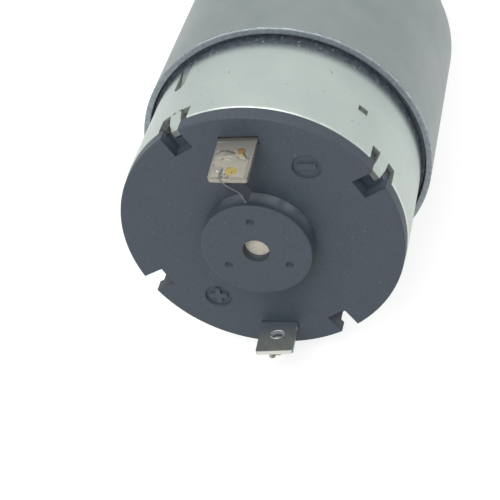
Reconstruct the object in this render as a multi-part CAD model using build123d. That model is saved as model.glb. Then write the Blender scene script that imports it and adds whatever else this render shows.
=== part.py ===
from build123d import *
import math
import os

# A brushed DC motor in a plated steel can, with a two-stage planetary gearhead on its front.
# X is the motor axis and points out along the output shaft, and Z points to the negative terminal.
# The origin is the centre of the front mounting face, and every length is in millimetres.

# Gearhead body
HOUSING_OD = 32.0
HOUSING_WALL = 2.0
COVER_FLANGE = 6.0
COVER_SPIGOT = 4.5
COVER_EDGE = 0.5
BODY_EDGE = 0.25
PLATE_FLANGE = 2.0
PLATE_SPIGOT = 4.0
RECESS_STEP = 0.65
SPIGOT_FIT = 0.05
PILOT_LAND = 1.75
PILOT_HEIGHT = 3.0
PILOT_EDGE = 0.4

# Front mounting holes, tapped M3
MOUNT_INSET = 3.0
MOUNT_HOLES = 4
MOUNT_HOLE_R = 1.25
MOUNT_HOLE_DEPTH = 5.0
MOUNT_FIRST_ANGLE = 45.0

# Gears, shared by both stages; their module follows from the housing
PRESSURE_ANGLE = 25.0
SUN_TEETH = 12
PLANET_TEETH = 15
RING_TEETH = SUN_TEETH + 2 * PLANET_TEETH
ADDENDUM_FACTOR = 1.0
RING_ADDENDUM_FACTOR = 0.9
DEDENDUM_FACTOR = 1.25
FLANK_THINNING = 0.03
PLANETS = 3
PLANET_1_WIDTH = 6.0
PLANET_2_WIDTH = 7.5
PINION_TAIL = 1.6
PIN_R = 1.5
PIN_FIT = 0.03
PIN_SHORT = 0.1
CARRIER_1_THICKNESS = 2.0
CARRIER_2_THICKNESS = 3.0
CARRIER_RIM = 0.56
SUN_JOURNAL_STEP = 0.05
THRUST_WASHER = 0.4
END_PLAY = 0.3

# Output shaft and its bushes
OUTPUT_R = 4.0
OUTPUT_LENGTH = 20.0
OUTPUT_FLAT_ACROSS = 7.5
OUTPUT_CHAMFER = 0.5
OUTPUT_BUSH_R = 6.0
OUTPUT_BUSH_LENGTH = 5.0
BUSH_FLANGE = 1.0
BUSH_FLANGE_R = 7.0
RUNNING_FIT = 0.02
OUTPUT_PLAY = 0.1
WASHER_THICKNESS = 0.5
WASHER_R = 6.3
WASHER_FIT = 0.1
CIRCLIP_THICKNESS = 0.8
CIRCLIP_R = 5.7
CIRCLIP_SPAN_ANGLE = 290.0
GROOVE_DEPTH = 0.5
GROOVE_PLAY = 0.05

# Countersunk screws
MOTOR_SCREW_R = 1.25
MOTOR_SCREW_HEAD_R = 2.35
MOTOR_SCREW_REACH = 0.6
MOTOR_SCREWS = 2
MOTOR_SCREW_FIRST_ANGLE = 45.0
BODY_SCREW_R = 1.0
BODY_SCREW_HEAD_R = 1.7
BODY_SCREW_GRIP = 2.0
BODY_SCREW_SINK = 0.15
BODY_SCREWS = 4
SCREW_SOCKET_SHARE = 0.5
SCREW_SOCKET_DEPTH = 0.7
SCREW_HOLE_FIT = 0.1
THREAD_FIT = 0.02

# Motor can
CAN_OD = 35.8
CAN_WALL = 0.65
CAN_NECK_STEP = 0.38
CAN_NECK_LAP = 0.6
CAN_NECK_GAP = 0.1
CAN_FRONT_WALL = 1.2
CAN_CORNER_R = 3.0
CAN_RIM_EDGE = 0.12
CAN_BOSS_R = 6.0
CAN_BOSS_HEIGHT = 2.5
CAN_BOSS_LIP = 0.5
CAN_LIP_HOLE_R = 2.5
BOSS_FIT = 0.05

# Bent tabs that hold the end cap, with a slot on each side of every tab, and two places left without a tab
TAB_ANGLES = (28.5, -61.5)
OPEN_ANGLES = (115.8, 211.6)
TAB_WIDTH = 1.65
TAB_SLOT_WIDTH = 1.35
TAB_SLOT_DEPTH = 2.35
TAB_ROOT = 0.4
TAB_KNEE = 1.1
TAB_KNEE_DROP = 0.3
TAB_DROP = 1.0
TAB_ROOM = 0.1
NOTCH_WIDTH = 2.65
NOTCH_REACH = 2.88
NOTCH_DEPTH = 2.1

# Dents that stop the cap, and lanced tongues behind the magnets
DENT_ANGLE = -46.5
DENT_WIDTH = 1.35
DENT_LENGTH = 1.0
DENT_GAP = 0.08
DENT_DEPTH = 0.4
TONGUE_ANGLE = 34.7
TONGUE_WIDTH = 1.9
TONGUE_LENGTH = 4.9
TONGUE_GAP = 1.55
TONGUE_SLIT = 0.25
TONGUE_ROOT = 0.15
TONGUE_DROP_ANGLE = 10.0

# End cap
CAP_FIT = 0.05
CAP_PROUD = 1.85
CAP_RIM_STEP = 0.1
CAP_DRAFT = 0.04
CAP_PLATE = 2.5
CAP_SKIRT = 5.45
CAP_SKIRT_WALL = 1.8
CAP_EDGE = 0.25
CAP_BOSS_R = 6.75
CAP_BOSS_HEIGHT = 2.6
CAP_BOSS_WALL = 1.3
CAP_BOSS_EDGE = 0.3
SHAFT_WINDOW_R = 1.65
SHAFT_SUNK = 1.2
DIMPLES = 3
DIMPLE_R = 0.52
DIMPLE_FLOOR_R = 0.28
DIMPLE_CIRCLE_R = 4.35
DIMPLE_DEPTH = 0.3
POST_LENGTH = 4.0
POST_WALL = 1.0

# Polarity marks on the cap
MARK_R = 1.75
MARK_DEPTH = 0.35
MINUS_MARK_INSET = 4.88
MINUS_MARK_ANGLE = -35.0
PLUS_MARK_INSET = 5.48
PLUS_MARK_ANGLE = 143.7
SIGN_LENGTH = 2.2
SIGN_WIDTH = 0.6

# Solder lugs
LUG_WIDTH = 4.65
LUG_THICKNESS = 0.5
LUG_LENGTH = 6.0
LUG_INSET = 3.18
LUG_BEND_OUT = 0.4
LUG_HOLE_R = 0.8
LUG_HOLE_REACH = 2.5
LUG_CORNER = 0.4
LUG_FIT = 0.03
LUG_MOUTH = 0.3
LUG_MOUTH_DEPTH = 0.45
NEGATIVE_LEAN_ANGLE = 14.0
NEGATIVE_SIDE_ANGLE = 3.2
NEGATIVE_SHIFT = 0.15
POSITIVE_LEAN_ANGLE = 7.5
POSITIVE_SIDE_ANGLE = 4.5
POSITIVE_SHIFT = 0.2

# Brush gear
BRUSH_WIDTH = 4.0
BRUSH_LENGTH = 3.6
BRUSH_HEIGHT = 5.0
BRUSH_GAP = 0.05
ARM_THICKNESS = 0.3
ARM_REACH = 4.5
ARM_BOW = 2.5

# Rotor; the core reaches a lead past the middle between its hub and the can, and the magnets fill the rest
SHAFT_R = 3.175 / 2
CORE_LENGTH = 24.0
CORE_HUB_R = 4.5
CORE_LEAD = 1.025
AIR_GAP = 0.5
POLES = 3
POLE_LEG = 5.0
POLE_SHOE = 1.7
POLE_SPAN_ANGLE = 102.0
INSULATOR = 0.8
WINDING_OVERHANG = 2.2
WINDING_SPAN_ANGLE = 100.0
WINDING_GAP = 0.2
WINDING_HUB_GAP = 0.5
COMMUTATOR_R = 4.0
COMMUTATOR_WALL = 1.4
COMMUTATOR_LENGTH = 5.8
COMMUTATOR_GAP = 2.4
COMMUTATOR_SLOT = 0.5
RISER_LENGTH = 0.8
RISER_HEIGHT = 1.0
RISER_WIDTH = 1.2
SPACER_R = 2.5
ROTOR_WASHER = 0.4
ROTOR_PLAY = 0.2
FRONT_ROOM = 2.4
REAR_ROOM = 4.0

# Motor bushes
FRONT_BUSH_R = 4.5
FRONT_BUSH_INSIDE = 1.8
REAR_BUSH_R = 3.5
REAR_BUSH_PROUD = 0.5

# Magnets and their clips
MAGNETS = 2
MAGNET_SPAN_ANGLE = 130.0
MAGNET_OVERHANG = 1.2
MAGNET_FIT = 0.05
CLIP_THICKNESS = 0.5
CLIP_GAP_ANGLE = 1.0

# Flux ring
RING_WALL = 0.85
RING_FIT = 0.1
RING_OVERHANG = 0.4
RING_SEAM = 0.6
RING_EDGE = 0.12

# Reach of a cutting shape past the wall that it cuts
CUT_ROOM = 1.0

# Stations along X, from the mounting face back to the face of the cap
cover_back = -COVER_FLANGE
spigot_back = cover_back - COVER_SPIGOT
carrier_2_front = spigot_back - BUSH_FLANGE - END_PLAY
carrier_2_back = carrier_2_front - CARRIER_2_THICKNESS
planet_2_front = carrier_2_back - END_PLAY
planet_2_back = planet_2_front - PLANET_2_WIDTH
carrier_1_front = planet_2_back - END_PLAY
carrier_1_back = carrier_1_front - CARRIER_1_THICKNESS
planet_1_front = carrier_1_back - END_PLAY
planet_1_back = planet_1_front - PLANET_1_WIDTH
washer_front = planet_1_back - END_PLAY
plate_front = washer_front - THRUST_WASHER
housing_back = plate_front - PLATE_SPIGOT
can_front = housing_back - PLATE_FLANGE
can_floor = can_front - CAN_FRONT_WALL
winding_front = can_floor - FRONT_ROOM
core_front = winding_front - WINDING_OVERHANG - INSULATOR
core_back = core_front - CORE_LENGTH
winding_back = core_back - INSULATOR - WINDING_OVERHANG
commutator_front = winding_back - COMMUTATOR_GAP
commutator_back = commutator_front - COMMUTATOR_LENGTH
rear_bush_front = commutator_back - REAR_ROOM
cap_inside = rear_bush_front - REAR_BUSH_PROUD
cap_face = cap_inside - CAP_PLATE
boss_face = cap_face - CAP_BOSS_HEIGHT
can_rear = cap_face + CAP_PROUD
skirt_front = cap_inside + CAP_SKIRT
front_bush_back = can_floor - FRONT_BUSH_INSIDE
front_bush_front = can_front + CAN_BOSS_HEIGHT - CAN_BOSS_LIP
rear_bush_back = boss_face + CAP_BOSS_WALL
magnet_front = core_front + MAGNET_OVERHANG
magnet_back = core_back - MAGNET_OVERHANG
ring_front = magnet_front + RING_OVERHANG
ring_back = magnet_back - RING_OVERHANG
neck_front = ring_back + CAN_NECK_LAP
neck_inside = magnet_back - CAN_NECK_GAP
pinion_back = planet_1_back - PINION_TAIL
brush_middle = (commutator_back + commutator_front - RISER_LENGTH) / 2
brush_back = brush_middle - BRUSH_LENGTH / 2
brush_front = brush_middle + BRUSH_LENGTH / 2
bush_face = PILOT_HEIGHT + BUSH_FLANGE
washer_back = bush_face + OUTPUT_PLAY
circlip_back = washer_back + WASHER_THICKNESS

# Radii
can_r = CAN_OD / 2
can_bore = can_r - CAN_WALL
neck_r = can_r - CAN_NECK_STEP
neck_bore = neck_r - CAN_WALL
cap_rim_r = neck_r - CAP_RIM_STEP
cap_r = cap_rim_r - CAP_DRAFT
skirt_r = neck_bore - CAP_FIT
skirt_bore = skirt_r - CAP_SKIRT_WALL
lug_offset = cap_r - LUG_INSET
magnet_r = can_bore - MAGNET_FIT
core_r = (CORE_HUB_R + can_bore) / 2 + CORE_LEAD
magnet_bore = core_r + AIR_GAP
shoe_bore = core_r - POLE_SHOE
commutator_bore = COMMUTATOR_R - COMMUTATOR_WALL
housing_r = HOUSING_OD / 2
recess_r = housing_r - HOUSING_WALL
spigot_r = recess_r - SPIGOT_FIT
ring_root_r = recess_r - RECESS_STEP
module = ring_root_r / (RING_TEETH / 2 + DEDENDUM_FACTOR)
groove_r = OUTPUT_R - GROOVE_DEPTH
sun_pitch_r = module * SUN_TEETH / 2
planet_pitch_r = module * PLANET_TEETH / 2
ring_pitch_r = module * RING_TEETH / 2
gear_centres = sun_pitch_r + planet_pitch_r
ring_tip_r = ring_pitch_r - RING_ADDENDUM_FACTOR * module
carrier_r = ring_tip_r - CARRIER_RIM
sun_journal_r = sun_pitch_r - DEDENDUM_FACTOR * module - SUN_JOURNAL_STEP
pilot_bore = CAN_BOSS_R + BOSS_FIT
motor_screw_circle_r = (pilot_bore + spigot_r) / 2
mount_circle_r = housing_r - MOUNT_INSET
pilot_r = mount_circle_r - MOUNT_HOLE_R - PILOT_LAND


def section(x):
    """Cross-section plane at a station, whose own x and y run along Y and Z."""
    return Plane(origin=(x, 0, 0), x_dir=(0, 1, 0), z_dir=(1, 0, 0))


def prism(outline, x_back, x_front):
    """Cross-section outline drawn out along X."""
    return extrude(section(x_back) * outline, amount=x_front - x_back)


def rod(radius, x_back, x_front):
    return prism(Circle(radius), x_back, x_front)


def tube(outer, inner, x_back, x_front):
    return prism(Circle(outer) - Circle(inner), x_back, x_front)


def block(x_span, y_span, z_span):
    """Box between two stations along each axis."""
    spans = (x_span, y_span, z_span)
    middle = [(low + high) / 2 for low, high in spans]
    sides = [high - low for low, high in spans]
    return Pos(*middle) * Box(*sides)


def eased(disc):
    """A round body with both of its rims chamfered."""
    return chamfer(disc.edges().filter_by(GeomType.CIRCLE), BODY_EDGE)


def around(shape, angle):
    """A shape made above the axis, carried round it from +Z towards +Y."""
    return Rot(-angle, 0, 0) * shape


def polar(radius, angle):
    return (radius * math.cos(math.radians(angle)), radius * math.sin(math.radians(angle)))


def arc(radius, start, end):
    return ThreePointArc(polar(radius, start), polar(radius, (start + end) / 2), polar(radius, end))


def sector(outer, inner, span, middle):
    """Part of a ring, centred on a direction measured from +Y towards +Z."""
    start = middle - span / 2
    end = middle + span / 2
    sides = [Line(polar(outer, end), polar(inner, end)), Line(polar(inner, start), polar(outer, start))]
    return make_face([arc(outer, start, end), sides[0], arc(inner, end, start), sides[1]])


def bent_sheet(points, thickness):
    """Outline of a folded sheet whose middle line follows the points, with mitred folds."""
    left = []
    right = []
    for index, point in enumerate(points):
        before = points[max(index - 1, 0)]
        after = points[min(index + 1, len(points) - 1)]
        into = Vector(point[0] - before[0], point[1] - before[1])
        out = Vector(after[0] - point[0], after[1] - point[1])
        into = into.normalized() if into.length else out.normalized()
        out = out.normalized() if out.length else into
        along = (into + out).normalized()
        across = Vector(-along.Y, along.X) * (thickness / 2 / along.dot(into))
        left.append((point[0] + across.X, point[1] + across.Y))
        right.append((point[0] - across.X, point[1] - across.Y))
    return make_face(Polyline(*left, *reversed(right), close=True))


def largest(shape):
    """The main solid of a cut shape."""
    return shape.solids().sort_by(SortBy.VOLUME)[-1]


def tooth_half_angle(radius, pitch_r, half_at_pitch):
    """Half of an involute tooth's angle at a radius."""
    base_r = pitch_r * math.cos(math.radians(PRESSURE_ANGLE))
    at_pitch = math.radians(PRESSURE_ANGLE)
    at_radius = math.acos(min(base_r / radius, 1.0))
    return half_at_pitch + math.degrees(math.tan(at_pitch) - at_pitch - math.tan(at_radius) + at_radius)


def toothed(teeth, root_r, tip_r, thinning):
    """Involute outline with a tooth on +Y.  A negative thinning makes the spaces of a ring gear."""
    pitch_r = module * teeth / 2
    foot_r = max(root_r, pitch_r * math.cos(math.radians(PRESSURE_ANGLE)))
    half_at_pitch = 90.0 / teeth - math.degrees(thinning / pitch_r)
    waist_r = (foot_r + tip_r) / 2
    foot, waist, tip = [tooth_half_angle(r, pitch_r, half_at_pitch) for r in (foot_r, waist_r, tip_r)]
    edges = []
    for index in range(teeth):
        middle = index * 360.0 / teeth
        following = middle + 360.0 / teeth
        rise = [polar(foot_r, middle - foot), polar(waist_r, middle - waist), polar(tip_r, middle - tip)]
        fall = [polar(tip_r, middle + tip), polar(waist_r, middle + waist), polar(foot_r, middle + foot)]
        edges.append(ThreePointArc(*rise))
        edges.append(arc(tip_r, middle - tip, middle + tip))
        edges.append(ThreePointArc(*fall))
        if foot_r > root_r:
            edges.append(Line(fall[2], polar(root_r, middle + foot)))
        edges.append(arc(root_r, middle + foot, following - foot))
        if foot_r > root_r:
            edges.append(Line(polar(root_r, following - foot), polar(foot_r, following - foot)))
    return make_face(edges)


def spur(teeth):
    """Outline of a sun or a planet."""
    root_r = module * (teeth / 2 - DEDENDUM_FACTOR)
    tip_r = module * (teeth / 2 + ADDENDUM_FACTOR)
    return toothed(teeth, root_r, tip_r, FLANK_THINNING)


def planet_places():
    """Angle and centre of each planet, from +Y towards +Z."""
    angles = [index * 360.0 / PLANETS for index in range(PLANETS)]
    return [(angle, polar(gear_centres, angle)) for angle in angles]


def screw_form(shank_r, head_r, length):
    """Countersunk form with its flat top at the origin and its shank down -Z."""
    head_height = head_r - shank_r
    outline = Polyline(
        (0, 0), (head_r, 0), (shank_r, -head_height), (shank_r, -length), (0, -length), close=True
    )
    return revolve(Plane.XZ * make_face(outline), Axis.Z)


def screw(shank_r, head_r, length):
    """Countersunk screw with a hexagon socket."""
    socket = RegularPolygon(head_r * SCREW_SOCKET_SHARE, 6)
    return screw_form(shank_r, head_r, length) - extrude(socket, amount=-SCREW_SOCKET_DEPTH)


def motor_screw_places():
    """Where the heads of the motor screws sit, with their shanks pointing back."""
    angles = [MOTOR_SCREW_FIRST_ANGLE + index * 360.0 / MOTOR_SCREWS for index in range(MOTOR_SCREWS)]
    places = [polar(motor_screw_circle_r, angle) for angle in angles]
    return [Pos(plate_front, y, z) * Rot(0, 90, 0) for y, z in places]


def motor_screw_length():
    return plate_front - can_floor + MOTOR_SCREW_REACH


def body_screw_length():
    return housing_r - BODY_SCREW_SINK - spigot_r + BODY_SCREW_GRIP


def body_screw_cuts(x):
    """Clearance for the radial screws in the housing wall."""
    shank_r = BODY_SCREW_R + SCREW_HOLE_FIT
    head_r = BODY_SCREW_HEAD_R + SCREW_HOLE_FIT
    form = screw_form(shank_r, head_r, body_screw_length())
    mouth = extrude(Circle(head_r), amount=BODY_SCREW_SINK * 2)
    top = Pos(x, 0, housing_r - BODY_SCREW_SINK) * (form + mouth)
    return [around(top, index * 360.0 / BODY_SCREWS) for index in range(BODY_SCREWS)]


def body_thread_cuts(x):
    """Threaded holes for the radial screws in a spigot."""
    depth = BODY_SCREW_GRIP + THREAD_FIT
    hole = extrude(Circle(BODY_SCREW_R + THREAD_FIT), amount=-depth * 2)
    top = Pos(x, 0, spigot_r + depth) * hole
    return [around(top, index * 360.0 / BODY_SCREWS) for index in range(BODY_SCREWS)]


plate_screw_x = (housing_back + plate_front) / 2
cover_screw_x = (spigot_back + cover_back) / 2


def motor_can():
    """Drawn cup with a narrower neck, a bearing boss, bent tabs, stop dents and lanced tongues."""
    body = rod(can_r, neck_front, can_front)
    body = fillet(body.edges().sort_by(Axis.X)[-1], CAN_CORNER_R)
    neck = rod(neck_r, can_rear, neck_front)
    neck = chamfer(neck.edges().sort_by(Axis.X)[0], CAN_RIM_EDGE)
    hollow = rod(can_bore, neck_inside, can_floor)
    hollow = fillet(hollow.edges().sort_by(Axis.X)[-1], CAN_CORNER_R - CAN_WALL)
    hollow += rod(neck_bore, can_rear, neck_inside)
    cup = body + neck - hollow + rod(CAN_BOSS_R, can_floor, can_front + CAN_BOSS_HEIGHT)
    cup -= rod(FRONT_BUSH_R, can_floor - CAN_FRONT_WALL, front_bush_front)
    cup -= rod(CAN_LIP_HOLE_R, can_floor, can_front + CAN_BOSS_HEIGHT)
    thread = extrude(Circle(MOTOR_SCREW_R + THREAD_FIT), amount=-motor_screw_length())
    for place in motor_screw_places():
        cup -= place * thread
    for angle in TAB_ANGLES + OPEN_ANGLES:
        cup -= around(tab_slot(), angle)
    for angle in TAB_ANGLES:
        cup += around(tab(), angle)
    for turn in (0, 180):
        cup -= around(dent(neck_r - DENT_DEPTH, neck_r + CUT_ROOM), DENT_ANGLE + turn)
        cup += around(dent(neck_bore - DENT_DEPTH, neck_r - DENT_DEPTH), DENT_ANGLE + turn)
        cup -= around(tongue_window(), TONGUE_ANGLE + turn)
        cup += around(tongue(), TONGUE_ANGLE + turn)
    return largest(cup)


def tab_slot():
    """Opening in the rim of the can that a tab stands in, with a slot left on each of its sides."""
    half = TAB_WIDTH / 2 + TAB_SLOT_WIDTH
    x_span = (can_rear - CUT_ROOM, can_rear + TAB_SLOT_DEPTH)
    return block(x_span, (-half, half), (neck_bore - CUT_ROOM, neck_r + CUT_ROOM))


def tab():
    """Tab of the can's wall, pressed in behind the rim of the cap and cut level with the can's rim."""
    wall_middle = neck_bore + CAN_WALL / 2
    root = can_rear + TAB_SLOT_DEPTH
    slope = (TAB_DROP - TAB_KNEE_DROP) / TAB_KNEE
    points = [
        (root + TAB_ROOT, wall_middle),
        (root, wall_middle),
        (can_rear + TAB_KNEE, wall_middle - TAB_KNEE_DROP),
        (can_rear - CUT_ROOM, wall_middle - TAB_DROP - slope * CUT_ROOM),
    ]
    strip = extrude(Plane.XZ * bent_sheet(points, CAN_WALL), amount=TAB_WIDTH / 2, both=True)
    return strip - block((can_rear - 2 * CUT_ROOM, can_rear), (-TAB_WIDTH, TAB_WIDTH), (0, neck_r))


def dent(bottom, top):
    """Block of a dent's plan in front of the skirt of the cap."""
    x_span = (skirt_front + DENT_GAP, skirt_front + DENT_GAP + DENT_LENGTH)
    return block(x_span, (-DENT_WIDTH / 2, DENT_WIDTH / 2), (bottom, top))


def tongue_outline(margin):
    """Flat outline of a tongue with its root at the origin and its round free end towards -X."""
    half = TONGUE_WIDTH / 2 - margin
    middle = margin + half - TONGUE_LENGTH
    return Pos(middle / 2, 0) * Rectangle(-middle, 2 * half) + Pos(middle, 0) * Circle(half)


def tongue_window():
    """Opening that a tongue is lanced from."""
    place = Pos(magnet_back - TONGUE_GAP, 0, neck_bore - CUT_ROOM)
    return place * extrude(tongue_outline(0), amount=CAN_WALL + 2 * CUT_ROOM)


def tongue():
    """Tongue whose free end is pushed into the can."""
    root = Pos(TONGUE_ROOT / 2, 0) * Rectangle(TONGUE_ROOT, TONGUE_WIDTH - 2 * TONGUE_SLIT)
    leaf = extrude(tongue_outline(TONGUE_SLIT) + root, amount=CAN_WALL / 2, both=True)
    return Pos(magnet_back - TONGUE_GAP, 0, neck_bore + CAN_WALL / 2) * Rot(0, -TONGUE_DROP_ANGLE, 0) * leaf


def flux_ring():
    """Rolled band round the can, with its seam underneath."""
    bore = can_r + RING_FIT
    band = tube(bore + RING_WALL, bore, ring_back, ring_front)
    band = chamfer(band.edges().filter_by(GeomType.CIRCLE), RING_EDGE)
    x_span = (ring_back, ring_front)
    return band - block(x_span, (-RING_SEAM / 2, RING_SEAM / 2), (-bore - RING_WALL * 2, -bore / 2))


def polarity_mark(inset, angle, plus):
    """Round recess that leaves a sign standing in it, at an angle from +Z towards +Y."""
    bars = Rectangle(SIGN_LENGTH, SIGN_WIDTH)
    if plus:
        bars += Rectangle(SIGN_WIDTH, SIGN_LENGTH)
    place = Pos(*polar(cap_r - inset, 90 - angle))
    return prism(place * (Circle(MARK_R) - bars), cap_face, cap_face + MARK_DEPTH)


def end_cap():
    """Moulded cap with a rim, a skirt, a bush boss, notches for the tabs and slots for the lugs."""
    rim = Pos((cap_face + can_rear) / 2, 0, 0) * Rot(0, 90, 0) * Cone(cap_r, cap_rim_r, CAP_PROUD)
    rim = fillet(rim.edges().sort_by(Axis.X)[0], CAP_EDGE)
    disc = rim + rod(skirt_r, can_rear, cap_inside)
    boss = rod(CAP_BOSS_R, boss_face, cap_inside)
    boss = fillet(boss.edges().sort_by(Axis.X)[0], CAP_BOSS_EDGE)
    cap = disc + tube(skirt_r, skirt_bore, cap_inside, skirt_front) + boss
    half = LUG_WIDTH / 2 + POST_WALL
    z_span = (lug_offset - LUG_THICKNESS / 2 - POST_WALL, lug_offset + LUG_THICKNESS / 2 + POST_WALL)
    post = block((cap_inside, cap_inside + POST_LENGTH), (-half, half), z_span)
    for turn in (0, 180):
        cap += around(post, turn)
    cap -= polarity_mark(MINUS_MARK_INSET, MINUS_MARK_ANGLE, False)
    cap -= polarity_mark(PLUS_MARK_INSET, PLUS_MARK_ANGLE, True)
    cap -= rod(SHAFT_WINDOW_R, boss_face, cap_inside)
    cap -= rod(REAR_BUSH_R, rear_bush_back, cap_inside)
    for index in range(DIMPLES):
        y, z = polar(DIMPLE_CIRCLE_R, 90 + index * 360.0 / DIMPLES)
        hollow = Rot(0, 90, 0) * Cone(DIMPLE_R, DIMPLE_FLOOR_R, DIMPLE_DEPTH)
        cap -= Pos(boss_face + DIMPLE_DEPTH / 2, y, z) * hollow
    for angle in TAB_ANGLES:
        cap -= around(notch(TAB_WIDTH + 2 * TAB_ROOM), angle)
    for angle in OPEN_ANGLES:
        cap -= around(notch(NOTCH_WIDTH), angle)
    cap -= lug_slot(NEGATIVE_SHIFT, 0)
    cap -= lug_slot(POSITIVE_SHIFT, 180)
    return largest(cap)


def notch(deep_width):
    """Notch in the rim of the cap, whose part of the given width is as deep as the slot of the can."""
    half = NOTCH_WIDTH / 2
    mouth = block((cap_face, cap_face + NOTCH_DEPTH), (-half, half), (cap_r - NOTCH_REACH, can_r))
    half = deep_width / 2
    x_span = (cap_face, can_rear + TAB_SLOT_DEPTH + TAB_ROOM)
    return mouth + block(x_span, (-half, half), (neck_bore - TAB_DROP - TAB_KNEE_DROP, can_r))


def lug_slot(shift, turn):
    """Slot for a lug through the cap and its post, with a wider mouth."""
    half_width = LUG_WIDTH / 2 + LUG_FIT
    y_span = (shift - half_width, shift + half_width)
    half_slot = LUG_THICKNESS / 2 + LUG_FIT
    half_mouth = LUG_THICKNESS / 2 + LUG_MOUTH
    slot_z_span = (lug_offset - half_slot, lug_offset + half_slot)
    slot = block((cap_face, cap_inside + POST_LENGTH), y_span, slot_z_span)
    mouth_z_span = (lug_offset - half_mouth, lug_offset + half_mouth)
    slot += block((cap_face, cap_face + LUG_MOUTH_DEPTH), y_span, mouth_z_span)
    return around(slot, turn)


def terminal(lean, side_lean, shift, turn):
    """Solder lug: a leg inside the cap, and a blade that leans in and aside beyond it."""
    half = LUG_WIDTH / 2
    leg_end = cap_face - LUG_BEND_OUT
    z_span = (lug_offset - LUG_THICKNESS / 2, lug_offset + LUG_THICKNESS / 2)
    leg = block((leg_end, brush_front), (shift - half, shift + half), z_span)
    length = LUG_LENGTH - LUG_BEND_OUT
    outline = Pos(-length / 2, 0) * Rectangle(length, LUG_WIDTH)
    outline = fillet(outline.vertices().group_by(Axis.X)[0], LUG_CORNER)
    face = outline - Pos(LUG_BEND_OUT - LUG_HOLE_REACH, 0) * Circle(LUG_HOLE_R)
    blade = extrude(face, amount=LUG_THICKNESS / 2, both=True)
    blade = Pos(leg_end, shift, lug_offset) * Rot(0, 0, -side_lean) * Rot(0, -lean, 0) * blade
    bend = Pos(leg_end, shift, lug_offset) * Rot(90, 0, 0) * Cylinder(LUG_THICKNESS / 2, LUG_WIDTH)
    return around(leg + bend + blade, turn)


def brush_arm(turn):
    """Hairpin leaf spring from the leg of a lug to the back of its brush."""
    lug_side = lug_offset - LUG_THICKNESS / 2 - ARM_THICKNESS / 2
    brush_side = COMMUTATOR_R + BRUSH_GAP + BRUSH_HEIGHT + ARM_THICKNESS / 2
    points = [
        (-LUG_WIDTH / 2, lug_side),
        (ARM_REACH, lug_side),
        (ARM_REACH + ARM_BOW, (lug_side + brush_side) / 2),
        (ARM_REACH, brush_side),
        (-BRUSH_WIDTH / 2, brush_side),
    ]
    return around(prism(bent_sheet(points, ARM_THICKNESS), brush_back, brush_front), turn)


def carbon_brush(turn):
    bottom = COMMUTATOR_R + BRUSH_GAP
    half = BRUSH_WIDTH / 2
    return around(block((brush_back, brush_front), (-half, half), (bottom, bottom + BRUSH_HEIGHT)), turn)


def magnet(middle):
    return prism(sector(magnet_r, magnet_bore, MAGNET_SPAN_ANGLE, middle), magnet_back, magnet_front)


def magnet_clips():
    """Two spring strips that push the magnets apart."""
    pitch = 360.0 / MAGNETS
    span = pitch - MAGNET_SPAN_ANGLE - 2 * CLIP_GAP_ANGLE
    leg_span = math.degrees(CLIP_THICKNESS / magnet_r)
    clips = []
    for index in range(MAGNETS):
        middle = (index + 0.5) * pitch
        outline = sector(magnet_r, magnet_r - CLIP_THICKNESS, span, middle)
        for side in (-1, 1):
            leg_middle = middle + side * (span - leg_span) / 2
            outline += sector(magnet_r, (magnet_r + magnet_bore) / 2, leg_span, leg_middle)
        clips.append(prism(outline, core_back, core_front))
    return Compound(children=clips)


def rear_bush():
    return tube(REAR_BUSH_R, SHAFT_R + RUNNING_FIT, rear_bush_back, rear_bush_front)


def front_bush():
    return tube(FRONT_BUSH_R, SHAFT_R + RUNNING_FIT, front_bush_back, front_bush_front)


def rotor_shaft():
    return rod(SHAFT_R, boss_face + SHAFT_SUNK, planet_1_front)


def pole_outline():
    """Three legs with arc-shaped shoes round a hub, with the bore for the shaft."""
    outline = Circle(CORE_HUB_R)
    leg_reach = (shoe_bore + core_r) / 2
    for index in range(POLES):
        angle = 90 + index * 360.0 / POLES
        outline += Rot(0, 0, angle) * Pos(leg_reach / 2, 0) * Rectangle(leg_reach, POLE_LEG)
        outline += sector(core_r, shoe_bore, POLE_SPAN_ANGLE, angle)
    return outline - Circle(SHAFT_R)


def armature_core():
    return prism(pole_outline(), core_back, core_front)


def armature_insulators():
    outline = pole_outline()
    ends = [(core_back - INSULATOR, core_back), (core_front, core_front + INSULATOR)]
    return Compound(children=[prism(outline, back, front) for back, front in ends])


def armature_windings():
    """One coil round each leg, between the hub and the shoe."""
    half_leg = (POLE_LEG + WINDING_GAP) / 2
    inner = CORE_HUB_R + WINDING_HUB_GAP
    outer = shoe_bore - WINDING_GAP
    coil = prism(sector(outer, inner, WINDING_SPAN_ANGLE, 90), winding_back, winding_front)
    coil -= block((core_back - INSULATOR, core_front + INSULATOR), (-half_leg, half_leg), (0, core_r))
    return Compound(children=[around(coil, index * 360.0 / POLES) for index in range(POLES)])


def commutator_hub():
    return tube(commutator_bore, SHAFT_R, commutator_back, commutator_front)


def commutator_segments():
    """Copper segments, each with a riser that its coil is fastened to."""
    span = 360.0 / POLES - math.degrees(COMMUTATOR_SLOT / COMMUTATOR_R)
    riser_span = math.degrees(RISER_WIDTH / COMMUTATOR_R)
    segments = []
    for index in range(POLES):
        angle = 90 + (index + 0.5) * 360.0 / POLES
        bar = prism(sector(COMMUTATOR_R, commutator_bore, span, angle), commutator_back, commutator_front)
        riser = sector(COMMUTATOR_R + RISER_HEIGHT, commutator_bore, riser_span, angle)
        segments.append(bar + prism(riser, commutator_front - RISER_LENGTH, commutator_front))
    return Compound(children=segments)


def rotor_spacers():
    rear = tube(SPACER_R, SHAFT_R, rear_bush_front + ROTOR_PLAY + ROTOR_WASHER, commutator_back)
    front_end = front_bush_back - ROTOR_PLAY - ROTOR_WASHER
    front = tube(SPACER_R, SHAFT_R, core_front + INSULATOR, front_end)
    return Compound(children=[rear, front])


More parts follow.
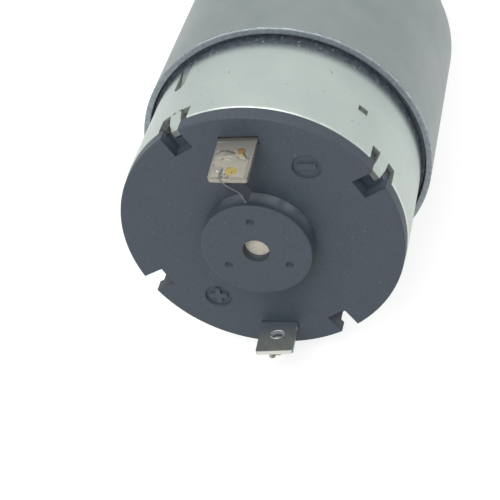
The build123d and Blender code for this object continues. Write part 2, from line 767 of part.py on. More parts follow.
def rotor_washers():
    rear_back = rear_bush_front + ROTOR_PLAY
    front_front = front_bush_back - ROTOR_PLAY
    rear = tube(REAR_BUSH_R, SHAFT_R, rear_back, rear_back + ROTOR_WASHER)
    front = tube(REAR_BUSH_R, SHAFT_R, front_front - ROTOR_WASHER, front_front)
    return Compound(children=[rear, front])


def motor_pinion():
    return prism(spur(SUN_TEETH) - Circle(SHAFT_R), pinion_back, planet_1_front)


def gearhead_rear_plate():
    """Plate between the can and the gear housing, centred on the boss of the can."""
    plate = eased(rod(housing_r, can_front, housing_back)) + rod(spigot_r, housing_back, plate_front)
    plate -= rod(pilot_bore, can_front, plate_front)
    shank_r = MOTOR_SCREW_R + SCREW_HOLE_FIT
    head_r = MOTOR_SCREW_HEAD_R + SCREW_HOLE_FIT
    form = screw_form(shank_r, head_r, motor_screw_length())
    for place in motor_screw_places():
        plate -= place * form
    for hole in body_thread_cuts(plate_screw_x):
        plate -= hole
    return largest(plate)


def motor_screws():
    form = screw(MOTOR_SCREW_R, MOTOR_SCREW_HEAD_R, motor_screw_length())
    return Compound(children=[place * form for place in motor_screw_places()])


def body_screws(x):
    """Radial screws through the housing into a spigot."""
    form = screw(BODY_SCREW_R, BODY_SCREW_HEAD_R, body_screw_length())
    top = Pos(x, 0, housing_r - BODY_SCREW_SINK) * form
    return Compound(children=[around(top, index * 360.0 / BODY_SCREWS) for index in range(BODY_SCREWS)])


def ring_gear_housing():
    """Tube with internal teeth, recessed at both ends for the plate and the cover."""
    housing = eased(rod(housing_r, housing_back, cover_back))
    spaces = toothed(RING_TEETH, ring_tip_r, ring_root_r, -FLANK_THINNING)
    housing -= prism(spaces, housing_back, cover_back)
    housing -= rod(recess_r, housing_back, washer_front)
    housing -= rod(recess_r, spigot_back, cover_back)
    for x in (plate_screw_x, cover_screw_x):
        for hole in body_screw_cuts(x):
            housing -= hole
    return largest(housing)


def thrust_washer():
    return tube(spigot_r, pilot_bore, plate_front, washer_front)


def planet(place, x_back, x_front):
    """Planet gear with a tooth that points away from the axis."""
    angle, centre = place
    outline = spur(PLANET_TEETH) - Circle(PIN_R + PIN_FIT)
    return prism(Pos(*centre) * Rot(0, 0, angle) * outline, x_back, x_front)


def carrier(bore, x_back, x_front):
    """Round plate with a bore in its middle and a hole for each planet pin."""
    outline = Circle(carrier_r) - Circle(bore)
    for angle, centre in planet_places():
        outline -= Pos(*centre) * Circle(PIN_R)
    return prism(outline, x_back, x_front)


def carrier_pins(x_back, x_front):
    """Pins pressed into a carrier, one for each planet."""
    pins = [prism(Pos(*centre) * Circle(PIN_R), x_back, x_front) for angle, centre in planet_places()]
    return Compound(children=pins)


def stage_2_sun():
    """Second sun, with a journal pressed into the first carrier."""
    return prism(spur(SUN_TEETH), carrier_1_front, planet_2_front) + rod(
        sun_journal_r, carrier_1_back, carrier_1_front
    )


def front_cover():
    """Cover with a spigot, a pilot boss, the bore of the output bushes and the mounting holes."""
    flange = rod(housing_r, cover_back, 0)
    flange = chamfer(flange.edges().sort_by(Axis.X)[-1], COVER_EDGE)
    flange = chamfer(flange.edges().sort_by(Axis.X)[0], BODY_EDGE)
    pilot = rod(pilot_r, cover_back, PILOT_HEIGHT)
    pilot = chamfer(pilot.edges().sort_by(Axis.X)[-1], PILOT_EDGE)
    cover = flange + pilot + rod(spigot_r, spigot_back, cover_back)
    cover -= rod(OUTPUT_BUSH_R, spigot_back, PILOT_HEIGHT)
    for index in range(MOUNT_HOLES):
        place = Pos(*polar(mount_circle_r, MOUNT_FIRST_ANGLE + index * 360.0 / MOUNT_HOLES))
        cover -= prism(place * Circle(MOUNT_HOLE_R), -MOUNT_HOLE_DEPTH, 0)
    for hole in body_thread_cuts(cover_screw_x):
        cover -= hole
    return largest(cover)


def output_bush(seat, outward):
    """Flanged bush, whose flange lies on the seat and whose sleeve runs inwards."""
    bore = OUTPUT_R + RUNNING_FIT
    sleeve_end = seat - outward * OUTPUT_BUSH_LENGTH
    flange_end = seat + outward * BUSH_FLANGE
    sleeve = tube(OUTPUT_BUSH_R, bore, min(seat, sleeve_end), max(seat, sleeve_end))
    return sleeve + tube(BUSH_FLANGE_R, bore, min(seat, flange_end), max(seat, flange_end))


def output_shaft():
    """Shaft with a groove for its circlip, and a flat from there to its chamfered end."""
    shaft = rod(OUTPUT_R, carrier_2_back, OUTPUT_LENGTH)
    shaft = chamfer(shaft.edges().sort_by(Axis.X)[-1], OUTPUT_CHAMFER)
    groove_front = circlip_back + CIRCLIP_THICKNESS + GROOVE_PLAY
    flat_z = OUTPUT_FLAT_ACROSS - OUTPUT_R
    shaft -= block((groove_front, OUTPUT_LENGTH), (-OUTPUT_R, OUTPUT_R), (flat_z, OUTPUT_R))
    return shaft - tube(OUTPUT_R + CUT_ROOM, groove_r, circlip_back, groove_front)


def output_washer():
    return tube(WASHER_R, OUTPUT_R + WASHER_FIT, washer_back, circlip_back)


def output_circlip():
    outline = sector(CIRCLIP_R, groove_r, CIRCLIP_SPAN_ANGLE, 90)
    return prism(outline, circlip_back, circlip_back + CIRCLIP_THICKNESS)


nodes = {
    "motor_can": motor_can(),
    "flux_ring": flux_ring(),
    "end_cap": end_cap(),
    "terminal_negative": terminal(NEGATIVE_LEAN_ANGLE, NEGATIVE_SIDE_ANGLE, NEGATIVE_SHIFT, 0),
    "terminal_positive": terminal(POSITIVE_LEAN_ANGLE, POSITIVE_SIDE_ANGLE, POSITIVE_SHIFT, 180),
    "brush_arm_negative": brush_arm(0),
    "brush_arm_positive": brush_arm(180),
    "carbon_brush_negative": carbon_brush(0),
    "carbon_brush_positive": carbon_brush(180),
    "rear_bush": rear_bush(),
    "front_bush": front_bush(),
    "magnet_left": magnet(0),
    "magnet_right": magnet(180),
    "magnet_clips": magnet_clips(),
    "rotor_shaft": rotor_shaft(),
    "armature_core": armature_core(),
    "armature_insulators": armature_insulators(),
    "armature_windings": armature_windings(),
    "commutator_hub": commutator_hub(),
    "commutator_segments": commutator_segments(),
    "rotor_spacers": rotor_spacers(),
    "rotor_washers": rotor_washers(),
    "motor_pinion": motor_pinion(),
    "gearhead_rear_plate": gearhead_rear_plate(),
    "motor_screws": motor_screws(),
    "rear_plate_screws": body_screws(plate_screw_x),
    "ring_gear_housing": ring_gear_housing(),
    "thrust_washer": thrust_washer(),
    "stage_1_carrier": carrier(sun_journal_r, carrier_1_back, carrier_1_front),
    "stage_1_pins": carrier_pins(planet_1_back + PIN_SHORT, carrier_1_front),
    "stage_2_sun": stage_2_sun(),
    "stage_2_carrier": carrier(OUTPUT_R, carrier_2_back, carrier_2_front),
    "stage_2_pins": carrier_pins(planet_2_back + PIN_SHORT, carrier_2_front),
    "front_cover": front_cover(),
    "cover_screws": body_screws(cover_screw_x),
    "output_bush_rear": output_bush(spigot_back, -1),
    "output_bush_front": output_bush(PILOT_HEIGHT, 1),
    "output_shaft": output_shaft(),
    "output_washer": output_washer(),
    "output_circlip": output_circlip(),
}
for letter, place in zip("abc", planet_places()):
    nodes["stage_1_planet_" + letter] = planet(place, planet_1_back, planet_1_front)
    nodes["stage_2_planet_" + letter] = planet(place, planet_2_back, planet_2_front)

os.makedirs("parts", exist_ok=True)
for name, shape in nodes.items():
    export_step(shape, "parts/" + name + ".step")
print(len(nodes), "pieces, from", round(cap_face - LUG_LENGTH, 2), "to", OUTPUT_LENGTH, "along X")
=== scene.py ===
# %% [markdown]
# # Dressing a small gear motor
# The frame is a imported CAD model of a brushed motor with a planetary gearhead, one object per piece.
# This lesson gives every piece the finish of the real thing, adds the old solder and the scraps that no
# drawing shows, and sets up the light and the camera.  The frame loads first, because all else stands on it.

# %% Load the frame
import math
from functools import partial

import bmesh
import bpy
from mathutils import Matrix, Quaternion, Vector


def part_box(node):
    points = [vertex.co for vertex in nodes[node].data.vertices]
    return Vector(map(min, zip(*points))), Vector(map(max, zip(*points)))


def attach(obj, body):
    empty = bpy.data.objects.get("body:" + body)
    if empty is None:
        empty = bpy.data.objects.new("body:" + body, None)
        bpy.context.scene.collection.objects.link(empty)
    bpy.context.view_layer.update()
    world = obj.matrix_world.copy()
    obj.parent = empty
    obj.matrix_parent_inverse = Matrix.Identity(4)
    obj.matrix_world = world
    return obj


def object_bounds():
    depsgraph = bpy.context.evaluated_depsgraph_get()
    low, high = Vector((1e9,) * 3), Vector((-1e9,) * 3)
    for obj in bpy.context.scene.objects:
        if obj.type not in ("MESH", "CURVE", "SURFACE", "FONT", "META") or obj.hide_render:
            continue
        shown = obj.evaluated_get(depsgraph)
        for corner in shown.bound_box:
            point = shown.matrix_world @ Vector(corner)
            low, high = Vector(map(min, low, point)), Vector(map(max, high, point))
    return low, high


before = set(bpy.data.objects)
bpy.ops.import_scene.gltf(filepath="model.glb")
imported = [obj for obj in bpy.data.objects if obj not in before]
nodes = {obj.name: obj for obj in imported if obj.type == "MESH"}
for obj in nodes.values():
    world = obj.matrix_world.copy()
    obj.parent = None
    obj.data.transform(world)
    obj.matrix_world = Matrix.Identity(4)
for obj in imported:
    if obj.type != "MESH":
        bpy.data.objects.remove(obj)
cad_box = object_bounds()
bpy.ops.object.select_all(action="DESELECT")

# %% [markdown]
# Sizes below are in millimetres, as on a drawing, and Blender works in metres.  The stations that the
# later cells need are read from the frame: the face of the end cap, the rear end of the can, the ring.

# %% Stations on the motor
MM = 0.001
CAP_BOSS_HEIGHT = 2.6
CAP_PROUD = 1.85
CAN_NECK_STEP = 0.38
boss_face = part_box("end_cap")[0].x
cap_face = boss_face + CAP_BOSS_HEIGHT * MM
can_rear = cap_face + CAP_PROUD * MM
ring_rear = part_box("flux_ring")[0].x
ring_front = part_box("flux_ring")[1].x
neck_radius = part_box("motor_can")[1].z - CAN_NECK_STEP * MM
floor_height = cad_box[0].z
print("cap face at", round(cap_face / MM, 2), "mm and floor at", round(floor_height / MM, 2), "mm")

# %% [markdown]
# The camera stands behind and above the motor and looks down on the end cap, a little tilted, as a hand
# holds it.  Its place is measured from the middle of the cap's face.  A track-to turn points it, and a
# roll about its own axis then tilts the picture.

# %% Camera
CAMERA_FROM_CAP = Vector((-118.85, -40.73, 98.17)) * MM
AIM_ON_CAP = Vector((0, 1.635, -1.995)) * MM
CAMERA_ROLL = math.radians(-12.5)
LENS = 95.86
CLIP_START = 0.01
bpy.ops.object.camera_add()
camera = bpy.context.object
cap_middle = Vector((cap_face, 0, 0))
camera.location = cap_middle + CAMERA_FROM_CAP
camera.rotation_mode = "QUATERNION"
look = AIM_ON_CAP - CAMERA_FROM_CAP
camera.rotation_quaternion = look.to_track_quat("-Z", "Y") @ Quaternion((0, 0, 1), CAMERA_ROLL)
camera.data.lens = LENS
camera.data.clip_start = CLIP_START
bpy.context.scene.camera = camera
bpy.context.scene.view_settings.view_transform = "Standard"
camera.select_set(False)
print("camera", round(look.length / MM), "mm from the cap")

# %% [markdown]
# Colours are given as sRGB hex values, and shaders want linear light, so one function turns them.
# Another fills a node's inputs: it links a socket, turns a hex colour and sets any other value.  A third adds
# a node and hands back one of its outputs.  A new material comes with that function bound to its own nodes,
# and so a material reads as a short list of what lies on what.

# %% Colours and nodes


def hex_colour(text):
    """Linear colour of an sRGB hex value."""
    parts = [int(text[i:i + 2], 16) / 255 for i in (1, 3, 5)]
    linear = [p / 12.92 if p <= 0.04045 else ((p + 0.055) / 1.055) ** 2.4 for p in parts]
    return (*linear, 1.0)


def set_sockets(node, sockets):
    """Links an input that is given a socket, and sets one that is given a hex colour or another value."""
    for name, value in sockets.items():
        if isinstance(value, bpy.types.NodeSocket):
            node.id_data.links.new(value, node.inputs[name])
        else:
            node.inputs[name].default_value = hex_colour(value) if isinstance(value, str) else value


def add_node(tree, kind, sockets, out=0, **settings):
    """Adds a shader node, with its settings, its values and its links, and returns one output."""
    made = tree.nodes.new("ShaderNode" + kind)
    for name, value in settings.items():
        setattr(made, name, value)
    set_sockets(made, sockets)
    return made.outputs[out]


def start_material(name):
    """A new material, what adds a node to it, its shader, and the place of a point on the motor."""
    material = bpy.data.materials.new(name)
    material.use_nodes = True
    add = partial(add_node, material.node_tree)
    return material, add, material.node_tree.nodes["Principled BSDF"], add("TexCoord", {}, "Object")


def per_size(size):
    """Scale of a noise whose patches are about this many millimetres."""
    return 1 / (size * MM)


# Sockets of the colour mix node, and what makes it mix colours
FACTOR, FIRST, SECOND = 0, 6, 7
COLOURS = {"out": 2, "data_type": "RGBA"}
print("the end cap's grey in linear light:", [round(c, 3) for c in hex_colour("#4E5660")])

# %% [markdown]
# The floor is a large pale sheet.  In the picture the ground is plain white, so for the eye, and for what
# shines, the sheet also glows a little; for the light on the motor it stays a plain pale surface, and it
# keeps the motor's shadow.

# %% Floor
FLOOR_SIDE = 20.0
FLOOR_GLOW = 0.74
bpy.ops.mesh.primitive_plane_add(size=FLOOR_SIDE, location=(0, 0, floor_height))
floor = bpy.context.object
floor.name = "floor"
# Matt paper: no shine at all, and white to the eye
floor_paper, add, shader = start_material("matt white paper")[:3]
path = add("LightPath", {}).node.outputs
seen = path["Is Camera Ray"]
for ray in ("Is Glossy Ray", "Is Transmission Ray"):
    seen = add("Math", {0: seen, 1: path[ray]}, operation="ADD")
glow = add("Math", {0: seen, 1: FLOOR_GLOW}, operation="MULTIPLY")
set_sockets(shader, {
    "Base Color": "#A8A8A6", "Roughness": 0.9, "Specular IOR Level": 0.0,
    "Emission Color": (1, 1, 1, 1), "Emission Strength": glow})
floor.data.materials.append(floor_paper)
floor.select_set(False)
print("floor of", FLOOR_SIDE, "m")

# %% [markdown]
# The light is a white tent, brighter above and in front of the motor than below and behind it.  Plated
# steel mirrors the tent, so its even walls give the can its even grey.  One soft box behind and above the
# cap lights its face, so that the moulded steps, which turn away from it, show as darker lines.

# %% Light
TENT_LEVEL = 0.74
TENT_RISE = 0.22
TENT_FORWARD = 0.1
SOFT_BOX_SIDE = 0.3
SOFT_BOX_POWER = 1.0
SOFT_BOX_FROM_CAP = Vector((-0.3, 0.06, 0.36))
tent = bpy.data.worlds.new("white tent")
tent.use_nodes = True
bpy.context.scene.world = tent
add = partial(add_node, tent.node_tree)
direction = add("TexCoord", {}, "Generated")
lean = add("VectorMath", {0: direction, 1: (TENT_FORWARD, 0, TENT_RISE)}, "Value", operation="DOT_PRODUCT")
level = add("Math", {0: lean, 1: TENT_LEVEL}, operation="ADD")
set_sockets(tent.node_tree.nodes["Background"], {"Color": (1, 1, 1, 1), "Strength": level})
bpy.ops.object.light_add(type="AREA", location=cap_middle + SOFT_BOX_FROM_CAP)
soft_box = bpy.context.object
soft_box.data.size = SOFT_BOX_SIDE
soft_box.data.energy = SOFT_BOX_POWER
soft_box.rotation_mode = "QUATERNION"
soft_box.rotation_quaternion = (-SOFT_BOX_FROM_CAP).to_track_quat("-Z", "Y")
soft_box.select_set(False)
print("tent at", TENT_LEVEL, "and a soft box of", SOFT_BOX_POWER, "W")

# %% [markdown]
# Most pieces differ only in what they are made of and how, so one recipe serves them: a single grain sets
# the colour, the gloss and a little height together, as it does on metal and moulded plastic.  The grain
# can be stretched, which gives the lines of a turned or drawn surface.

# %% A recipe for a grained finish


def grained(name, colours, grain, roughness, metallic=1.0, relief=0.004, stretch=(1, 1, 1)):
    """A finish between two colours and two roughnesses.  Grain and relief are in millimetres."""
    material, add, shader, place = start_material(name)
    turned = add("Mapping", {"Vector": place, "Scale": stretch})
    noise = add("TexNoise", {"Vector": turned, "Scale": per_size(grain), "Detail": 5.0, "Roughness": 0.6})
    spread = add("MapRange", {"Value": noise, "From Min": 0.3, "From Max": 0.7})
    tone = add("Mix", {FACTOR: spread, FIRST: colours[0], SECOND: colours[1]}, **COLOURS)
    gloss = add("MapRange", {"Value": spread, "To Min": roughness[0], "To Max": roughness[1]})
    height = add("Bump", {"Height": noise, "Distance": relief * MM})
    set_sockets(shader, {"Base Color": tone, "Roughness": gloss, "Normal": height, "Metallic": metallic})
    return material


def give(material, *names):
    """Puts a material on CAD pieces."""
    for name in names:
        nodes[name].data.materials.clear()
        nodes[name].data.materials.append(material)
    print(material.name, "on", ", ".join(names))


print("a grain of 0.1 mm is a noise of scale", round(per_size(0.1)))

# %% [markdown]
# ## The end cap
# The cap is moulded from glass-filled nylon.  The fibres leave a dull slate surface with a fine, uneven
# grain, a few paler rubbed patches and a little dust.  Three noises of very different sizes do that: grit
# of 0.25 mm, clouds of 3 mm and sparse specks.  The grit is drawn coarser than it is, so that it shows.
# What lies on the nylon goes into a list of layers, a mask and a colour each, and a loop at the end lays
# them one over another.  One large mix would do too, but a list is easier to add to.

# %% Moulded nylon
# Dull slate with a soft sheen, and grit that breaks up the light
nylon, add, shader, place = start_material("glass-filled nylon, moulded")
# Patch size in millimetres and detail of each noise
grit, clouds, dust = (
    add("TexNoise", {"Vector": place, "Scale": per_size(size), "Detail": detail})
    for size, detail in ((0.25, 3.0), (3.0, 3.0), (0.35, 1.0)))
spread = add("MapRange", {"Value": grit, "From Min": 0.35, "From Max": 0.65})
rubbed = add("MapRange", {"Value": clouds, "From Min": 0.45, "From Max": 0.75, "To Max": 0.5})
specks = add("MapRange", {"Value": dust, "From Min": 0.74, "From Max": 0.8, "To Max": 0.6})
tone = "#37404A"
layers = [(spread, "#3F4954"), (rubbed, "#464F59"), (specks, "#6E777E")]
print(nylon.name, "starts with", len(layers), "layers")

# %% [markdown]
# The skirt is painted pale grey under the can's rim, a painted light that shows through the slots beside the
# tabs.  The small hollows of the boss get painted shade.  The notches round the rim and the walls of the
# polarity marks get painted light that lifts their shade, with a little dust, and the up-facing side of the
# boss gets dust and painted light.  Masks for these could be painted, but a distance along the motor and one
# from its axis find each place exactly.

# %% Moulded nylon: skirt, hollows and notches
SKIRT_DEPTH = 0.8
SKIRT_START = 0.01
BOSS_HOLLOWS_R = 5.5
HOLLOW_DEPTH = 0.08
NOTCH_FLOOR_R = 14.3
NOTCH_LIP_R = 17.2
NOTCH_DUST_AND_LIGHT = (0.5, 1.0)
along = add("SeparateXYZ", {0: place}, "X")
across = add("VectorMath", {0: place, 1: (0, 1, 1)}, operation="MULTIPLY")
reach = add("VectorMath", {0: across}, "Value", operation="LENGTH")
# The skirt under the can's rim: a pale grey of painted light, which shows in the slots beside the tabs
past_rim = add("Math", {0: along, 1: can_rear + SKIRT_START * MM}, operation="GREATER_THAN")
outside = add("Math", {0: reach, 1: neck_radius - SKIRT_DEPTH * MM}, operation="GREATER_THAN")
skirt_painted_light = add("Math", {0: past_rim, 1: outside}, operation="MULTIPLY")
# The small hollows of the boss: painted shade, a dark tone over them
on_boss = add("Math", {0: reach, 1: BOSS_HOLLOWS_R * MM}, operation="LESS_THAN")
sunk = add("MapRange", {
    "Value": along, "From Min": boss_face, "From Max": boss_face + HOLLOW_DEPTH * MM, "To Max": 0.95})
dirt_and_painted_shade = add("Math", {0: on_boss, 1: sunk}, operation="MULTIPLY")
# The notches round the rim: painted light that lifts their shade, with a little dust
notch_dust_and_painted_light = add("Math", {0: reach, 1: NOTCH_FLOOR_R * MM}, operation="GREATER_THAN")
under_lip = add("Math", {0: reach, 1: NOTCH_LIP_R * MM}, operation="LESS_THAN")
below = add("MapRange", {
    "Value": along, "From Min": cap_face + NOTCH_DUST_AND_LIGHT[0] * MM, "From Max": cap_face + NOTCH_DUST_AND_LIGHT[1] * MM,
    "To Max": 0.7})
for mask in (under_lip, below):
    notch_dust_and_painted_light = add("Math", {0: notch_dust_and_painted_light, 1: mask}, operation="MULTIPLY")
layers += [(skirt_painted_light, "#70736D"), (dirt_and_painted_shade, "#353D46"), (notch_dust_and_painted_light, "#4C5661")]
print("skirt, hollows and notches:", len(layers), "layers")

# %% Moulded nylon: painted light in the polarity marks, and dust and painted light on the boss
MARK_DEPTH = 0.35
MARK_WALL = 0.45
BOSS_R = 6.8
BOSS_DUST_AND_LIGHT = (0.6, 1.8)
UP_AND_RIGHT = (0, -0.35, 0.94)
# The walls of the polarity marks: painted light, a paler tone that lifts their shade
on_wall = add("Math", {
    0: along, 1: cap_face + MARK_DEPTH / 2 * MM, 2: MARK_WALL * MARK_DEPTH * MM}, operation="COMPARE")
inboard = add("Math", {0: reach, 1: NOTCH_FLOOR_R * MM}, operation="LESS_THAN")
mark_walls_painted_light = add("Math", {0: on_wall, 1: inboard}, operation="MULTIPLY")
facing = add("TexCoord", {}, "Normal")
# The boss's wall where it faces up and right: dust and painted light, in patches
upward = add("VectorMath", {0: facing, 1: UP_AND_RIGHT}, "Value", operation="DOT_PRODUCT")
upward = add("MapRange", {"Value": upward, "From Min": 0.5, "From Max": 0.95})
along_boss_wall = add("MapRange", {
    "Value": along, "From Min": boss_face + BOSS_DUST_AND_LIGHT[0] * MM, "From Max": boss_face + BOSS_DUST_AND_LIGHT[1] * MM})
patches = add("MapRange", {"Value": clouds, "From Min": 0.2, "From Max": 0.5})
dust_and_painted_light = add("Math", {0: reach, 1: BOSS_R * MM}, operation="LESS_THAN")
for mask in (upward, along_boss_wall, patches):
    dust_and_painted_light = add("Math", {0: dust_and_painted_light, 1: mask}, operation="MULTIPLY")
layers += [(mark_walls_painted_light, "#5A636D"), (dust_and_painted_light, "#757D85")]
print("marks and boss:", len(layers), "layers")

# %% Moulded nylon: layers and gloss
for mask, colour in layers:
    tone = add("Mix", {FACTOR: mask, FIRST: tone, SECOND: colour}, **COLOURS)
gloss = add("MapRange", {"Value": clouds, "To Min": 0.45, "To Max": 0.65})
height = add("Bump", {"Height": grit, "Distance": 0.012 * MM})
set_sockets(shader, {"Base Color": tone, "Roughness": gloss, "Normal": height, "IOR": 1.53})
give(nylon, "end_cap")

# %% [markdown]
# ## The can
# The can is drawn from zinc-plated sheet.  Zinc goes matt and slightly green, with soft clouds and tiny dark
# pits.  Its layers are kept in a list as well.

# %% Zinc-plated steel
# A pale, even grey that mirrors the tent softly
zinc, add, shader, place = start_material("zinc-plated steel, deep drawn")
clouds, pits, rust, band_noise, patchy, fine = (
    add("TexNoise", {"Vector": place, "Scale": per_size(size), "Detail": detail})
    for size, detail in ((5.0, 4.0), (0.6, 2.0), (0.4, 3.0), (0.8, 4.0), (2.0, 3.0), (0.12, 2.0)))
spread = add("MapRange", {"Value": clouds, "From Min": 0.3, "From Max": 0.7})
pitted = add("MapRange", {"Value": pits, "From Min": 0.72, "From Max": 0.78})
tone = "#BDC7C3"
layers = [(spread, "#C6D0CB"), (pitted, "#83898A")]
print(zinc.name, "starts with", len(layers), "layers")

# %% [markdown]
# Where the sheet was cut or pushed in, bare grey steel shows: that mask is the distance from the motor's
# axis, and it leaves out the bent tabs, whose outside is still plated.  Bending also cracked the plating in
# a short line across the root of the upper left tab.

# %% Zinc-plated steel: bare cuts
BARE_DEPTH = 0.06
TAB_REACH = 2.45
FACING_OUT = 0.5
along = add("SeparateXYZ", {0: place}, "X")
across = add("VectorMath", {0: place, 1: (0, 1, 1)}, operation="MULTIPLY")
reach = add("VectorMath", {0: across}, "Value", operation="LENGTH")
inside = add("Math", {0: reach, 1: neck_radius - BARE_DEPTH * MM}, operation="LESS_THAN")
at_tabs = add("Math", {0: along, 1: can_rear + TAB_REACH * MM}, operation="LESS_THAN")
outward = add("VectorMath", {0: across}, operation="NORMALIZE")
facing = add("TexCoord", {}, "Normal")
facing = add("VectorMath", {0: facing, 1: outward}, "Value", operation="DOT_PRODUCT")
facing = add("Math", {0: facing, 1: FACING_OUT}, operation="GREATER_THAN")
plated = add("Math", {0: at_tabs, 1: facing}, operation="MULTIPLY")
bare = add("Math", {0: inside, 1: plated}, operation="SUBTRACT", use_clamp=True)
bare_tone = add("Mix", {FACTOR: rust, FIRST: "#7A7D76", SECOND: "#9AA09B"}, **COLOURS)
layers.append((bare, bare_tone))
print("bare steel up to", round(neck_radius / MM - BARE_DEPTH, 2), "mm from the axis")

# %% Zinc-plated steel: cracks at the tab's root
TAB_ANGLE = 28.5
TAB_ROOT = 2.35
CRACK_REACH = 1.0
CRACK_LINE = 0.2
tab_turn = math.radians(TAB_ANGLE)
tab_root = can_rear + TAB_ROOT * MM
root_middle = (tab_root, neck_radius * math.sin(tab_turn), neck_radius * math.cos(tab_turn))
from_root = add("VectorMath", {0: place, 1: root_middle}, "Value", operation="DISTANCE")
at_root = add("Math", {0: from_root, 1: CRACK_REACH * MM}, operation="LESS_THAN")
in_line = add("Math", {0: along, 1: tab_root, 2: CRACK_LINE * MM}, operation="COMPARE")
split = add("MapRange", {"Value": rust, "From Min": 0.5, "From Max": 0.56, "To Max": 0.8})
for mask in (at_root, in_line):
    split = add("Math", {0: split, 1: mask}, operation="MULTIPLY")
layers.append((split, "#6A6F6E"))
print("cracks at", [round(c / MM, 1) for c in root_middle], "mm")

# %% [markdown]
# Oil, dirt and painted shade darken the corner behind the ring and fade over 2.5 mm, with bright scratches
# from when the ring was pushed on.  The rolled rim at the can's rear end is rubbed bright in patches, and a
# painted highlight runs along it.

# %% Zinc-plated steel: dirt and painted shade behind the ring
DARK_BAND_REACH = 3.2
DARK_BAND_SOLID = 0.7
DARK_BAND_UNDER_RING = 0.7
# Dirt and painted shade: a dark band on the can behind the ring, darkest next to it
near_ring = add("MapRange", {
    "Value": along, "From Min": ring_rear - DARK_BAND_REACH * MM, "From Max": ring_rear - DARK_BAND_SOLID * MM},
    interpolation_type="SMOOTHERSTEP")
band_noise = add("MapRange", {"Value": band_noise, "To Min": 0.75, "To Max": 1.15})
dirt_and_painted_shade = add("Math", {0: near_ring, 1: band_noise}, operation="MULTIPLY", use_clamp=True)
behind = add("Math", {0: along, 1: ring_rear + DARK_BAND_UNDER_RING * MM}, operation="LESS_THAN")
dirt_and_painted_shade = add("Math", {0: dirt_and_painted_shade, 1: behind}, operation="MULTIPLY")
drawn = add("Mapping", {"Vector": place, "Rotation": (0, 0, 0.6), "Scale": (0.3, 1, 1)})
marks = add("TexNoise", {"Vector": drawn, "Scale": per_size(0.3), "Detail": 2.0})
marked = add("MapRange", {"Value": marks, "From Min": 0.64, "From Max": 0.7, "To Max": 0.6})
scratch = add("Math", {0: dirt_and_painted_shade, 1: marked}, operation="MULTIPLY")
layers += [(dirt_and_painted_shade, "#444D58"), (scratch, "#A4ABAE")]
print("dirt reaches", DARK_BAND_REACH, "mm behind the ring")

# %% Zinc-plated steel: worn rim with a painted highlight
RIM_BAND = 0.45
RIM_BRIGHT = 0.1
# The rim's edge: rubbed bright in patches, and a painted highlight along it
worn_and_highlit = add("MapRange", {
    "Value": along, "From Min": can_rear + RIM_BAND * MM, "From Max": can_rear + RIM_BRIGHT * MM})
patchy = add("MapRange", {"Value": patchy, "From Min": 0.35, "From Max": 0.6})
whole = add("Math", {0: 1.0, 1: inside}, operation="SUBTRACT")
for mask in (patchy, whole):
    worn_and_highlit = add("Math", {0: worn_and_highlit, 1: mask}, operation="MULTIPLY")
layers.append((worn_and_highlit, "#DDE3DE"))
print("rim worn over", RIM_BAND, "mm")

# %% Zinc-plated steel: layers and gloss
for mask, colour in layers:
    tone = add("Mix", {FACTOR: mask, FIRST: tone, SECOND: colour}, **COLOURS)
height = add("Bump", {"Height": fine, "Distance": 0.003 * MM})
gloss = add("MapRange", {"Value": clouds, "To Min": 0.42, "To Max": 0.55})
dull = add("Math", {0: dirt_and_painted_shade, 1: bare}, operation="MAXIMUM")
shine = add("MapRange", {"Value": dull, "To Min": 0.9, "To Max": 0.2})
set_sockets(shader, {"Base Color": tone, "Roughness": gloss, "Normal": height, "Metallic": shine})
give(zinc, "motor_can")

# %% [markdown]
# ## The flux ring
# The ring is a rolled strip of thicker steel.  Its outside is greyer than the can.  Its ends were sheared,
# so they are rough and blotched, with torn bright and black marks along the rim.  The mask of the sheared
# ends is once more a distance along the motor.

# %% Rolled steel with sheared ends
# A dull, cloudy grey, with rougher ends
SHEAR_DEPTH = 0.14
ring_steel, add, shader, place = start_material("rolled zinc-phosphate steel")
clouds, torn, chips, fine = (
    add("TexNoise", {"Vector": place, "Scale": per_size(size), "Detail": detail})
    for size, detail in ((4.0, 5.0), (0.5, 4.0), (1.1, 3.0), (0.15, 3.0)))
spread = add("MapRange", {"Value": clouds, "From Min": 0.3, "From Max": 0.7})
along = add("SeparateXYZ", {0: place}, "X")
rear_end, front_end = (
    add("MapRange", {"Value": along, "From Min": end + depth, "From Max": end + depth / 2})
    for end, depth in ((ring_rear, SHEAR_DEPTH * MM), (ring_front, -SHEAR_DEPTH * MM)))
sheared = add("Math", {0: rear_end, 1: front_end}, operation="MAXIMUM")
torn_spread = add("MapRange", {"Value": torn, "From Min": 0.35, "From Max": 0.65})
torn_tone = add("Mix", {FACTOR: torn_spread, FIRST: "#8E979D", SECOND: "#A2AAAF"}, **COLOURS)
tone = "#959E9F"
layers = [(spread, "#9EA6A5"), (sheared, torn_tone)]
print(ring_steel.name, "is sheared over", SHEAR_DEPTH, "mm at both ends")

